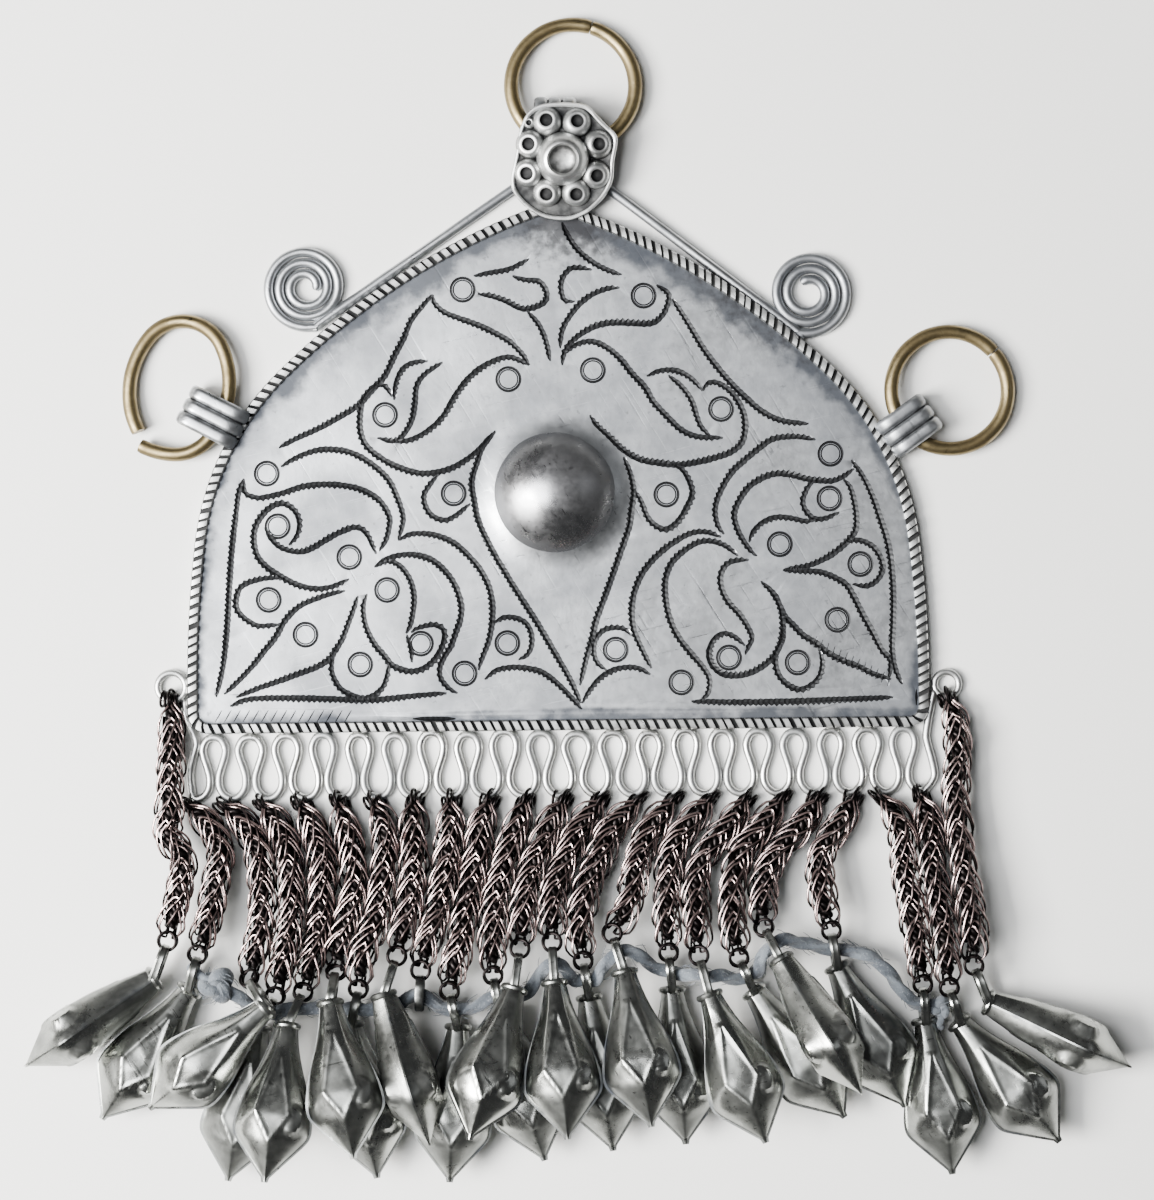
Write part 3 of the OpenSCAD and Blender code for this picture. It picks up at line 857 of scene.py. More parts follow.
@dataclass
class SheetPlan:
    """Plan of the sheet's upper side: its points, edges and faces, and the cuts' middle lines and sizes."""

    points: list = field(default_factory=list)
    edges: list = field(default_factory=list)
    faces: list = field(default_factory=list)
    shades: list = field(default_factory=list)
    middles: list = field(default_factory=list)
    depths: list = field(default_factory=list)
    halves: list = field(default_factory=list)

    def add_line(self, line: np.ndarray, closed: bool = True) -> list[int]:
        """Add a line of points and the edges along it.

        Args:
            line: The points.
            closed: Whether the last point joins the first.

        Returns:
            The numbers of the new points.
        """
        first = len(self.points)
        self.points.extend(line)
        ids = list(range(first, first + len(line)))
        self.edges.extend(zip(ids, ids[1:] + ids[:1] if closed else ids[1:]))
        return ids

    def add_stroke(self, stroke: Stroke, left: np.ndarray, way: np.ndarray, right: np.ndarray,
                   depth: np.ndarray) -> None:
        """Add an engraved line, as a ribbon with two faces at each step.

        Args:
            stroke: The line.
            left: Its left edge.
            way: Its middle.
            right: Its right edge.
            depth: Its depth at each point.
        """
        a, b, c = (self.add_line(line, stroke.closed) for line in (left, way, right))
        n = len(a)
        for i in range(n if stroke.closed else n - 1):
            j = (i + 1) % n
            self.faces.append((b[i], b[j], a[j], a[i]))
            self.faces.append((c[i], c[j], b[j], b[i]))
            self.shades += [stroke.shade(i)] * 2
        if not stroke.closed:
            self.edges.extend([(a[0], b[0]), (b[0], c[0]), (a[-1], b[-1]), (b[-1], c[-1])])
        self.middles.extend(way)
        self.depths.extend(depth)
        self.halves.extend([0.62 * stroke.w] * n)


@dataclass
class EngravedSheet:
    """The plate's sheet with its engraving cut into it."""

    material: bpy.types.Material
    tooth: float = 0.4
    insets: tuple = (0.8, 1.6, 2.6, 4.0, 6.0)
    hole: float = 9.1
    boss_rings: tuple = (9.35, 9.6, 9.9, 10.2, 10.6, 11.0, 11.5, 12.1, 12.9, 14.2)
    flare: float = 0.85
    flare_w: float = 4.2
    waves: tuple = ((17, 3.0, 0.10), (6, 9.0, 0.05))
    grid: float = 2.6
    grid_inset: float = 6.5
    grid_play: float = 0.7
    seed: int = 4

    def strokes(self) -> list[Stroke]:
        """All lines of the engraving.

        Returns:
            The strokes, in the pendant's frame.
        """
        made = [Stroke(drawn(line)) for group in (LEFT_LINES, MIDDLE_LINES, RIGHT_LINES) for line in group]
        for circle in CIRCLES:
            centre = drawn([circle])[0]
            for r, w in RING_LINES:
                ring = np.array([centre + r * ray(a) for a in range(0, 360, 15)])
                made.append(Stroke(ring, w=w, bite=0.0, depth=0.12, closed=True))
        for count, first, step, reach in CUT_ROWS:
            starts = [np.array(first) + k * np.array(step) for k in range(count)]
            made += [Stroke(drawn([at, at + reach]), w=0.17, bite=0.0, depth=0.12) for at in starts]
        made.append(Stroke(drawn(LOW_DENT), w=0.40, bite=0.0, depth=0.22))
        made.append(Stroke(drawn(RIGHT_DENT), w=0.30, bite=0.0, depth=0.35))
        return made

    def ribbon(self, stroke: Stroke, chance: random.Random) -> tuple:
        """Left edge, middle and right edge of a stroke with its uneven edges.

        Args:
            stroke: The stroke.
            chance: Source of the unevenness.

        Returns:
            Three lines of points, and the depth at each.
        """
        way = smooth_way(stroke.points, self.tooth, stroke.closed)
        n = len(way)
        along = directions(way, stroke.closed)
        left = np.stack([-along[:, 1], along[:, 0]], axis=1)
        share, end_depth = np.ones(n), np.ones(n)
        if not stroke.closed:
            run = np.minimum(np.arange(n), np.arange(n)[::-1]) * self.tooth
            share = np.clip(0.35 + run / 2.2, 0, 1) * (0.80 + 0.26 * np.clip(run / 9, 0, 1))
            end_depth = np.clip(run / 0.6, 0, 1)
        odd = np.where(np.arange(n) % 2 == 0, 1.0, -1.0)
        jitter = np.array([1 + stroke.bite * chance.uniform(-0.5, 0.5) for _ in range(n)])
        left_w = stroke.w * share * jitter * (1 + stroke.bite * odd * 0.5)
        right_w = stroke.w * share * jitter * (1 - stroke.bite * odd * 1.7)
        lean = along * (0.9 * stroke.bite * share)[:, None]
        edges = way + left * left_w[:, None] + lean, way - left * right_w[:, None] - lean
        return edges[0], way, edges[1], stroke.depth * share * end_depth

    def plan(self) -> SheetPlan:
        """Lay out the lines along the rim, the rings round the boss, the engraving and a loose grid.

        Returns:
            The plan.
        """
        chance = random.Random(self.seed)
        plan = SheetPlan()
        plan.add_line(PLATE.placed_points(PLATE.outline(self.insets[0], 3)))
        for inset in self.insets[1:]:
            plan.add_line(PLATE.placed_points(PLATE.outline(inset, 2)))
        centre = PLATE.boss_centre()
        for r in (self.hole, *self.boss_rings):
            plan.add_line(np.array([centre + r * ray(a) for a in np.arange(0, 360, 3)]))
        for stroke in self.strokes():
            plan.add_stroke(stroke, *self.ribbon(stroke, chance))
        inside = PLATE.outline(self.grid_inset)
        low, high = inside.min(0), inside.max(0)
        play = self.grid_play
        for x in np.arange(low[0], high[0], self.grid):
            for y in np.arange(low[1], high[1], self.grid):
                q = np.array([x + chance.uniform(-play, play), y + chance.uniform(-play, play)])
                if within(q, inside):
                    plan.points.append(PLATE.placed_points(q[None])[0])
        return plan

    def heights(self, plan: SheetPlan, flat: np.ndarray) -> np.ndarray:
        """Heights of the upper side, with slight waves, the flare at the boss and the cuts.

        Args:
            plan: The plan, which holds the cuts.
            flat: The plane points.

        Returns:
            One height for each point.
        """
        tree = kdtree.KDTree(len(plan.middles))
        for i, middle in enumerate(plan.middles):
            tree.insert((middle[0], middle[1], 0.0), i)
        tree.balance()
        centre = PLATE.boss_centre()
        z = np.zeros(len(flat))
        for i, (x, y) in enumerate(flat):
            _, near, far = tree.find((x, y, 0.0))
            cut = plan.depths[near] * max(0.0, 1 - far / plan.halves[near])
            wave = sum(h * noise.noise(Vector((x / wide, y / wide, seed))) for wide, seed, h in self.waves)
            off = math.hypot(x - centre[0], y - centre[1]) - self.hole
            rise = self.flare * max(0.0, 1 - off / self.flare_w) ** 2.4
            z[i] = PLATE.sheet_t + wave + rise - cut
        return z

    def past_hole(self, corners: np.ndarray) -> bool:
        """Whether a face with these corners lies outside the hole for the boss."""
        return bool(np.linalg.norm(np.mean(corners, axis=0) - PLATE.boss_centre()) > self.hole * 0.998)

    def make(self) -> bpy.types.Object:
        """Model the sheet.

        Returns:
            Its object.
        """
        plan = self.plan()
        points = [Vector(p) for p in plan.points]
        got = geometry.delaunay_2d_cdt(points, plan.edges, plan.faces, 0, 1e-4, True)
        flat = np.array([tuple(v) for v in got[0]])
        z = self.heights(plan, flat)
        tops, cuts = [], []
        for face, origin in zip(got[2], got[5]):
            if self.past_hole(flat[list(face)]):
                tops.append(tuple(face))
                # Faces of the engraved grooves get painted shade.
                cuts.append(max(plan.shades[k] for k in origin) if origin else 0.0)
        used = sorted({i for face in tops for i in face})
        new = {old: k for k, old in enumerate(used)}
        tops = [tuple(new[i] for i in face) for face in tops]
        part, walls = self.closed(np.column_stack([flat[used], z[used]]), tops)
        wear = np.zeros((len(part[0]), 3))
        wear[:, 1], wear[:, 2] = self.shade_and_grime(part[0])
        return Piece("engraved_sheet", part, self.material, Slot.SILVER, nodes=("plate",), smooth=13,
                     wear=(wear, np.array(cuts + [0.0] * walls))).make()

    def closed(self, verts: np.ndarray, tops: list) -> tuple:
        """Close the sheet with its side walls and its flat back.

        Args:
            verts: Vertices of the upper side.
            tops: Its faces.

        Returns:
            The closed part, and how many faces were added.
        """
        sides = dict.fromkeys(pair for face in tops for pair in zip(face, face[1:] + face[:1]))
        rim = [(a, b) for a, b in sides if (b, a) not in sides]
        border = sorted({i for edge in rim for i in edge})
        low = {old: len(verts) + k for k, old in enumerate(border)}
        lower = verts[border].copy()
        lower[:, 2] = 0.0
        walls = [(b, a, low[a], low[b]) for a, b in rim]
        flat = [Vector(v[:2]) for v in lower]
        links = [(low[a] - len(verts), low[b] - len(verts)) for a, b in rim]
        got = geometry.delaunay_2d_cdt(flat, links, [], 0, 1e-4, True)
        under = [tuple(len(verts) + got[3][i][0] for i in reversed(face)) for face in got[2]
                 if self.past_hole(np.array([tuple(got[0][i]) for i in face]))]
        return (np.concatenate([verts, lower]), tops + walls + under), len(walls) + len(under)

    def shade_and_grime(self, verts: np.ndarray) -> tuple[np.ndarray, np.ndarray]:
        """Tarnish with painted shade along the rim, painted shade round the boss and in the upper right,
        and painted shadow below the knop.

        Args:
            verts: The sheet's vertices.

        Returns:
            Two values from 0 to 1 for each.
        """
        x, y = verts[:, 0], verts[:, 1]
        from_rim = distance(verts[:, :2], PLATE.placed_points(PLATE.outline(PLATE.half_rim, 2)))
        from_boss = np.linalg.norm(verts[:, :2] - PLATE.boss_centre(), axis=1) - self.hole
        high = np.clip((y - 18) / 22, 0, 1)
        # The band of tarnish and painted shade widens towards the top and the upper right.
        reach = 4.0 + 3.6 * high + 3.2 * high * np.clip(x / 25, 0, 1)
        # A darker strip along the lower edge.
        low_edge = 0.72 * np.clip((-15.6 - y) / 1.4, 0, 1) * np.clip((x + 30) / 20, 0, 1)
        tarnish_shade_band = np.maximum(np.clip(1.05 - from_rim / reach, 0, 1), low_edge)
        # Painted shade in a ring round the boss foot.
        boss_foot_shade = 0.45 * np.clip(1 - from_boss / 2.4, 0, 1)
        # Painted shadow of the knop on the sheet, and painted shade in the upper right.
        knop_shadow = 0.95 * np.clip(1 - np.hypot(x + 1, 1.3 * (y - 57)) / 15, 0, 1)
        upper_right_shade = 0.62 * high * np.clip(x / 20, 0, 1) * np.clip(1 - from_rim / 8, 0, 1)
        return np.maximum(tarnish_shade_band, boss_foot_shade), np.maximum(knop_shadow, upper_right_shade)


@dataclass
class PlateFittings:
    """The soldered pieces of the plate: rim, boss, scroll wire, knop, lugs and loop wire."""

    metal: bpy.types.Material
    dome: bpy.types.Material
    bright: bpy.types.Material
    block: float = 1.47
    slant: float = 0.4
    notch_z: float = 1.56
    boss_r: float = 11.30
    boss_z: float = -4.40
    boss_wall: float = 0.8
    scroll_r: float = 6.15
    scroll_pitch: float = 1.64
    scroll_wire: float = 0.75
    petal_hub: tuple = (0.0, 9.4)
    lug_r: float = 1.6
    lug_z: float = 2.4
    strap_t: float = 0.8
    half_rib: float = 1.065
    loop_count: int = 20
    loop_wire: float = 0.6
    loop_top: float = -0.4
    foot_y: float = -9.95
    eye_wire: float = 0.55
    seed: int = 7

    def make(self) -> list[bpy.types.Object]:
        """Model them all.

        Returns:
            Their objects.
        """
        made = [self.rim(), self.boss(), self.scrolls(), self.knop(), self.loops()]
        lugs = (("top_lug", (-3.2, 59.4), 90, 16.7, 13.4), ("right_lug", (47.7, 24.0), 36, 7.9, None),
                ("left_lug", (-51.5, 25.5), 153, 9.1, None))
        return made + [self.lug(*row) for row in lugs]

    def silver(self, name: str, part: tuple, metal: bpy.types.Material, smooth: float,
               wear: Any) -> bpy.types.Object:
        """Put one piece of the plate's silver in the scene.

        Args:
            name: Its name.
            part: Vertices and faces.
            metal: Its material.
            smooth: Greatest angle between faces that are shaded as one, in degrees.
            wear: A row of painted shade and wear for each vertex.

        Returns:
            Its object.
        """
        piece = Piece(name, part, metal, Slot.SILVER, nodes=("plate",), smooth=smooth, wear=(wear, None))
        return piece.make()

    def notches(self, length: float) -> list[tuple[float, float]]:
        """Where the rim's section changes, block by block.

        Args:
            length: Distance round the rim.

        Returns:
            Distances along the rim, each with 1 where the section is cut low.
        """
        chance = random.Random(self.seed)
        blocks = round(length / self.block)
        made = []
        for i in range(blocks):
            start = (i + 0.12 * chance.uniform(-1, 1)) * length / blocks
            for share, low in ((0.0, 1.0), (0.15, 1.0), (0.24, 0.0), (0.5, 0.0), (0.78, 0.0), (0.86, 1.0)):
                made.append((start + share * (length / blocks), low))
        return made

    def rim(self) -> bpy.types.Object:
        """Model the raised rim with its slanted cuts.

        Returns:
            Its object.
        """
        half = PLATE.half_rim
        right = [(0.6, 2.14), (half, 1.9), (half, 0.0)]
        section = [(-u, h) for u, h in reversed(right)] + [(0.0, 2.22)] + right
        lines = []
        for u, _ in section:
            line = PLATE.placed_points(PLATE.outline(half - u, 4))
            lines.append(np.concatenate([line, line[:1]]))
        run = run_along(lines[len(section) // 2])
        rings, wear = [], []
        for s, low in self.notches(run[-1]):
            ring = []
            for (u, h), line in zip(section, lines):
                at = (s + self.slant * u / half) % run[-1]
                z = min(h, self.notch_z) if low and h > 1.7 else h
                ring.append((np.interp(at, run, line[:, 0]), np.interp(at, run, line[:, 1]), z))
                # Painted shade: dark notches in the top, and darker lower sides where the rim meets the
                # sheet.
                wear.append((0.96 * low if h > 1.0 else 0.2, 0.3 if h > 1.0 else 0.8, 0.0))
            rings.append(ring)
        return self.silver("notched_rim", swept(np.array(rings), closed=True), self.bright, 40, wear)

    def boss(self) -> bpy.types.Object:
        """Model the hollow polished boss.

        Returns:
            Its object.
        """
        x, y = PLATE.boss_centre()
        bpy.ops.object.select_all(action="DESELECT")
        bpy.ops.mesh.primitive_uv_sphere_add(segments=96, ring_count=72, radius=self.boss_r * MM)
        obj = bpy.context.active_object
        bpy.ops.object.mode_set(mode="EDIT")
        bpy.ops.mesh.select_all(action="SELECT")
        cut_z = (0.1 - self.boss_z) * MM
        bpy.ops.mesh.bisect(plane_co=(0, 0, cut_z), plane_no=(0, 0, 1), clear_inner=True)
        bpy.ops.object.mode_set(mode="OBJECT")
        shell = obj.modifiers.new("wall", "SOLIDIFY")
        shell.thickness, shell.offset = self.boss_wall * MM, -1.0
        bpy.ops.object.modifier_apply(modifier="wall")
        verts = np.array([tuple(v.co) for v in obj.data.vertices]) / MM
        for v in verts:
            swell = noise.noise(Vector((v[0] / 5, v[1] / 5, 2.0)))
            v *= 1 + 0.0035 * swell
        faces = [tuple(f.vertices) for f in obj.data.polygons]
        bpy.data.objects.remove(obj)
        verts += (x, y, self.boss_z)
        wear = np.zeros((len(verts), 3))
        # Painted shade, darker towards the dome's foot.
        wear[:, 1] = np.clip(0.8 - (verts[:, 2] - 1.2) / 1.6, 0, 1)
        return self.silver("boss", (verts, faces), self.dome, 35, wear)

    def scroll(self, centre: tuple, way: int, last: float) -> list:
        """Points of one scroll, from the bridge inwards.

        Args:
            centre: Its middle.
            way: 1 or -1, the sense in which it turns.
            last: Where it ends, in degrees.

        Returns:
            The points.
        """
        made = []
        for a in np.arange(-18, last, 9):
            flat = np.array(centre) + (self.scroll_r - self.scroll_pitch * a / 360) * ray(-90 + way * a)
            made.append(np.array([*flat, self.scroll_wire]))
        return made

    def scrolls(self) -> bpy.types.Object:
        """Model the wire with its two scrolls.

        Returns:
            Its object.
        """
        bridge = [(-37.3, 43.1), (-10.0, 62.05), (-7.2, 63.9), (-5.2, 65.2), (-3.2, 65.8), (-1.2, 65.4),
                  (1.5, 64.4), (3.8, 63.1), (6.2, 61.4), (32.4, 41.7)]
        left, right = self.scroll((-41.2, 47.35), -1, 1010), self.scroll((35.5, 46.45), 1, 940)
        way = smooth_way(left[::-1] + [np.array([*p, self.scroll_wire]) for p in bridge] + right, 0.5)
        swells = [noise.noise(Vector((i * 0.11, 5.0, 0.0))) for i in range(len(way))]
        part = wire(way, [self.scroll_wire * (1 + 0.05 * swell) for swell in swells], 14)
        wear = np.zeros((len(part[0]), 3))
        # Painted shade on the wire's low side, next to the sheet.
        wear[:, 2] = np.clip(0.55 - part[0][:, 2] / 1.2, 0, 1)
        return self.silver("scroll_wire", part, self.metal, 50, wear)

    def knop(self) -> bpy.types.Object:
        """Model the flower shaped knop with its petals and its cone.

        Returns:
            Its object.
        """
        made = [self.knop_plate(), *self.petals(), self.cone()]
        verts, faces = joined(part for part, _, _ in made)
        wear = np.zeros((len(verts), 3))
        # Blue is soft painted shade and red dark painted shade, in the knop's hollows and at its foot.
        wear[:, 2] = np.concatenate([painted_shade for _, painted_shade, _ in made])
        wear[:, 0] = np.concatenate([cut for _, _, cut in made])
        part = moved((verts, faces), (-2.0, 57.4, 1.9), 0, 10)
        return self.silver("knop", part, self.bright, 38, wear)

    def knop_plate(self) -> tuple:
        """The knop's plate with its raised edge.

        Returns:
            The part, its soft painted shade and its dark painted shade.
        """
        edge = [(0.2, 0), (-2.8, 0.4), (-5.5, 1.9), (-7.5, 4.2), (-7.9, 6.2), (-7.5, 8.3), (-6.9, 11.3),
                (-6.5, 13.8), (-5.2, 16.3), (-3.3, 17.4), (-0.2, 17.7), (2.9, 17.5), (4.2, 16.9), (6.0, 15),
                (7.9, 13.2), (8.3, 11.9), (7.8, 8.9), (7.6, 6.2), (6.5, 3.8), (4.3, 1.5), (2.0, 0.3)]
        line = smooth_way(edge, 0.6, True)
        middle = np.array([0.0, 8.9])
        rings = []
        for share, z in ((1.0, 0.0), (1.0, 0.85), (0.985, 1.08), (0.955, 1.12), (0.93, 1.0), (0.915, 0.62),
                         (0.80, 0.55), (0.55, 0.62)):
            ring = middle + (line - middle) * share
            rings.append(np.column_stack([ring, np.full(len(ring), z)]))
        plate = swept(np.array(rings))
        # Painted shade low down: at the foot and in the recess.
        low = plate[0][:, 2] < 0.8
        return plate, np.where(low, 0.62, 0.1), np.where(low, 0.74, 0.0)

    def petals(self) -> list[tuple]:
        """The eight petals and the small bead beside them.

        Returns:
            Parts, each with its soft painted shade and its dark painted shade.
        """
        places = [(-2.39, 14.95), (2.15, 14.8), (5.33, 11.46), (5.03, 6.9), (2.0, 4.2), (-2.39, 4.2),
                  (-5.27, 7.2), (-4.97, 11.46)]
        bead = (-5.1, 14.7)
        profile = [(0.0, 0.1), (2.26, 0.1), (2.30, 0.5), (2.18, 1.05), (1.90, 1.58), (1.55, 1.92),
                   (1.24, 2.03), (1.02, 1.97), (0.90, 1.72), (0.80, 1.45), (0.45, 1.38), (0.0, 1.36)]
        # Painted shade along each petal's profile, darkest at its foot and in the hollow on top.
        painted_shade = [0.9, 0.9, 0.8, 0.6, 0.3, 0.0, 0.0, 0.0, 0.3, 0.5, 0.5, 0.5]
        cut = [0, 0.8, 0.8, 0.35, 0.08, 0.0, 0.0, 0.35, 0.95, 0.97, 0.93, 0.9]
        small = [(x * 0.42, 0.2 + (z - 0.2) * 0.6) for x, z in profile]
        steps, foot_z, lean = 28, 0.1, 13
        hub = np.array(self.petal_hub)
        made = []
        for at, shape in [(place, profile) for place in places] + [(bead, small)]:
            away = np.array(at) - hub
            leaning = moved(lathe(shape, steps), (0, 0, 0), 0, lean, "Y")
            turn = math.degrees(math.atan2(away[1], away[0]))
            verts, faces = moved(leaning, (*(hub + away * 0.965), 0.05), turn)
            verts[:, 2] = np.maximum(verts[:, 2], foot_z)
            made.append(((verts, faces), np.repeat(painted_shade, steps), np.repeat(cut, steps)))
        return made

    def cone(self) -> tuple:
        """The knop's hollow cone.

        Returns:
            The part, its soft painted shade and its dark painted shade.
        """
        profile = [(0.0, 0.2), (4.1, 0.2), (4.08, 0.9), (4.0, 1.6), (3.8, 2.4), (3.45, 3.1), (3.05, 3.65),
                   (2.7, 3.95), (2.4, 4.02), (2.2, 3.86), (2.0, 3.45), (1.4, 3.12), (0.7, 3.0), (0.0, 2.98)]
        # Painted shade along the cone's profile: at its foot and in the hollow on top.
        painted_shade = [0, 0, 0.9, 0.6, 0.25, 0.05, 0, 0, 0, 0.3, 0.75, 0.5, 0.4, 0.4]
        cut = [0.0] * 9 + [0.2, 0.35, 0.3, 0.3, 0.3]
        steps = 56
        return moved(lathe(profile, steps), (0.0, 9.3, 0.0)), np.repeat(painted_shade, steps), np.repeat(cut, steps)

    def lug(self, name: str, at: tuple, turn: float, length: float,
            upper: Optional[float]) -> bpy.types.Object:
        """Model a strap lug of three ribs.

        Args:
            name: The piece's name.
            at: Where it starts.
            turn: Its direction in degrees.
            length: How far it reaches.
            upper: Where its upper strap ends, or None for a closed strap.

        Returns:
            Its object.
        """
        outer = self.lug_r + self.strap_t
        far, near = length - outer, -self.strap_t + outer
        path = [(x, 0.0, -1.0) for x in np.linspace(near, far, 6)]
        path += [(far, *ray(a)) for a in range(-78, 90, 12)]
        path += [(x, 0.0, 1.0) for x in np.linspace(far, near if upper is None else upper, 6)]
        if upper is None:
            path += [(near, *ray(a)) for a in range(102, 270, 12)]
        rings, wear = [], []
        for x, out_x, out_z in path:
            ring = []
            for y in np.linspace(-3.2, 3.2, 25):
                u = ((abs(y) + self.half_rib) % (2 * self.half_rib) - self.half_rib) / self.half_rib
                reach = self.lug_r + self.strap_t - (0.42 * abs(u) ** 5 + 0.10 * u * u)
                ring.append((x + out_x * reach, y, self.lug_z + out_z * reach))
                # Painted shade: dark grooves between the ribs, and more shade towards them.
                wear.append((0.97 if abs(u) > 0.9 and abs(y) < 2 else 0.0, 0.2, 0.5 * abs(u)))
            for y in (3.15, 0.0, -3.15):
                ring.append((x + out_x * self.lug_r, y, self.lug_z + out_z * self.lug_r))
                # Painted shade inside the hinge.
                wear.append((0.3, 0.6, 0.5))
            rings.append(ring)
        part = moved(swept(np.array(rings), closed=upper is None), (*at, 0.0), turn)
        return self.silver(name, part, self.metal, 42, wear)

    def loops(self) -> bpy.types.Object:
        """Model the row of loops, bent from one wire, and its two eyes.

        Returns:
            Its object.
        """
        route = smooth_way([(x, y, self.loop_wire) for x, y in self.loop_way()], 0.35)
        parts = [wire(route, self.loop_wire, 12)]
        for x, y, r in ((-59.0, 7.2, 2.15), (59.3, 6.4, 1.85)):
            ring = np.array([(x + r * math.cos(a), y + r * math.sin(a), self.loop_wire)
                             for a in np.linspace(0, 2 * np.pi, 36, endpoint=False)])
            parts.append(wire(ring, self.eye_wire, 12, closed=True))
        verts, faces = PLATE.placed(joined(parts))
        wear = np.zeros((len(verts), 3))
        # Painted shade on the wire's low side.
        wear[:, 2] = np.clip(0.5 - verts[:, 2], 0, 1)
        return self.silver("loop_wire", (verts, faces), self.bright, 50, wear)

    def loop_way(self) -> list[tuple[float, float]]:
        """The loops' wire, from the left eye to the right one.

        Returns:
            Plane points in the plate's own frame.
        """
        bend = [(0, 0), (1.15, -0.4), (1.78, -1.7), (1.66, -3.1), (1.12, -4.8), (0.74, -6.3), (0.85, -7.9),
                (1.65, -9.1)]
        way = [(-57.0, 5.3), (-56.8, 2.6), (-55.6, -0.3), (-55.3, -1.6), (-55.9, -3.8), (-56.3, -6.1),
               (-56.2, -7.9), (-55.95, -9.4)]
        chance = random.Random(self.seed)
        for i in range(self.loop_count):
            x, wide = (i - (self.loop_count - 1) / 2) * PLATE.loop_step, 1 + chance.uniform(-0.09, 0.09)
            lift = chance.uniform(-0.25, 0.25)
            heights = [self.loop_top + by + (lift if k < 3 else 0) for k, (_, by) in enumerate(bend)]
            way.append(((i - self.loop_count / 2) * PLATE.loop_step, self.foot_y))
            way += [(x - wide * bx, y) for (bx, _), y in reversed(list(zip(bend, heights)))]
            way += [(x + wide * bx, y) for (bx, _), y in list(zip(bend, heights))[1:]]
        return way + [(55.4, self.foot_y), (56.1, -9.4), (56.9, -8.4), (57.3, -7.2), (56.9, -5.0),
                      (56.3, -2.7), (56.1, -1.2), (56.6, 1.9), (57.4, 5.6)]


# The rings
@dataclass
class Rings:
    """The three rings, each free to turn in its lug."""

    brass: bpy.types.Material
    wire_r: float = 1.1
    hinge_z: float = 2.4
    lead: float = 0.35
    top_r: float = 9.45
    right_r: float = 8.95

    def on_hinge(self, part: tuple, at: tuple, turn: float, reach: float) -> tuple:
        """A part that starts at the hinge, tilted down to the ground and put in its lug.

        Args:
            part: Vertices and faces in the ring's own frame.
            at: The hinge.
            turn: Direction over the ring, in degrees.
            reach: Distance from the hinge to the ring's far side.

        Returns:
            The placed part.
        """
        down = math.degrees(math.asin((self.hinge_z - self.wire_r) / reach))
        return moved(part, (*at, self.hinge_z), turn, down, "Y")

    def bent(self, way: np.ndarray, seed: float) -> tuple:
        """A ring's wire, a little uneven, with blunt ends.

        Args:
            way: Its middle line.
            seed: Which unevenness.

        Returns:
            The part.
        """
        fine = smooth_way(way, 0.5)
        swells = [noise.noise(Vector((i * 0.15, seed, 0.0))) for i in range(len(fine))]
        radius = [self.wire_r * (1 + 0.035 * swell) for swell in swells]
        radius[0] = radius[-1] = self.wire_r * 1.55
        return wire(fine, radius, 20)

    def round_way(self, r: float) -> np.ndarray:
        """Middle line of a round ring with its opening at the far side."""
        return np.array([(r - self.lead + r * math.cos(math.radians(a)), r * math.sin(math.radians(a)), 0.0)
                         for a in np.linspace(0.8, 359.2, 90)])

    def oval_way(self) -> np.ndarray:
        """Middle line of the oval ring, with the end that runs on past it.

        Returns:
            Its points.
        """
        turn = 83 - 152.6
        end_x, end_r, side_y, run_on_r = 3.6, 6.6, 5.65, 12.3
        half = math.degrees(math.atan2(end_x, side_y))
        side_r = end_r + math.hypot(end_x, side_y)
        near, joint = np.array([-end_x, 0.0]), 185
        way = (arc(near + (end_r - run_on_r) * ray(joint), run_on_r, 159.5, joint, 5)
               + arc(near, end_r, joint, 270 - half, 6, 1)
               + arc((0, side_y), side_r, 270 - half, 270 + half, 9, 1)
               + arc((end_x, 0), end_r, half - 90, 90 - half, 14, 1)
               + arc((0, -side_y), side_r, 90 - half, 90 + half, 9, 1)
               + arc(near, end_r, 90 + half, 125, 3, 1))
        hinge = np.array([0.0, side_y]) + side_r * ray(180 - turn)
        c, s = ray(turn)
        flat = (np.array(way) - hinge) @ np.array([[c, s], [-s, c]]) + (-self.lead, 0.0)
        return np.column_stack([flat, np.zeros(len(flat))])

    def make(self) -> list[bpy.types.Object]:
        """Model the rings.

        Returns:
            Their objects.
        """
        rows = ((Body.TOP_RING, self.round_way(self.top_r), (-3.1, 69.2), 73, 18.55),
                (Body.RIGHT_RING, self.round_way(self.right_r), (50.4, 25.9), 41, 17.55),
                (Body.LEFT_RING, self.oval_way(), (-54.55, 26.65), 152.6, 15.8))
        made = []
        for k, (body, way, at, turn, reach) in enumerate(rows):
            part = self.on_hinge(self.bent(way, 3.0 * k), at, turn, reach)
            ring = Piece(f"brass_{body.value}", part, self.brass, Slot.BRASS, body, (body.value,), 50)
            made.append(ring.make())
        return made


# The fringe
@dataclass(frozen=True)
class DropPlace:
    """Where a drop hangs: its collar, the way and rise of its tip, its roll, and its bail's way and rise."""

    x: float
    y: float
    z: float
    way: float
    rise: float
    roll: float
    bail: float
    bail_rise: float
    bail_reach: float = 6.8

    def bail_end(self) -> np.ndarray:
        """Where the chain meets the bail."""
        c, s = ray(self.bail_rise)
        return np.array([self.x, self.y, self.z]) + self.bail_reach * np.array([*(c * ray(self.bail)), s])


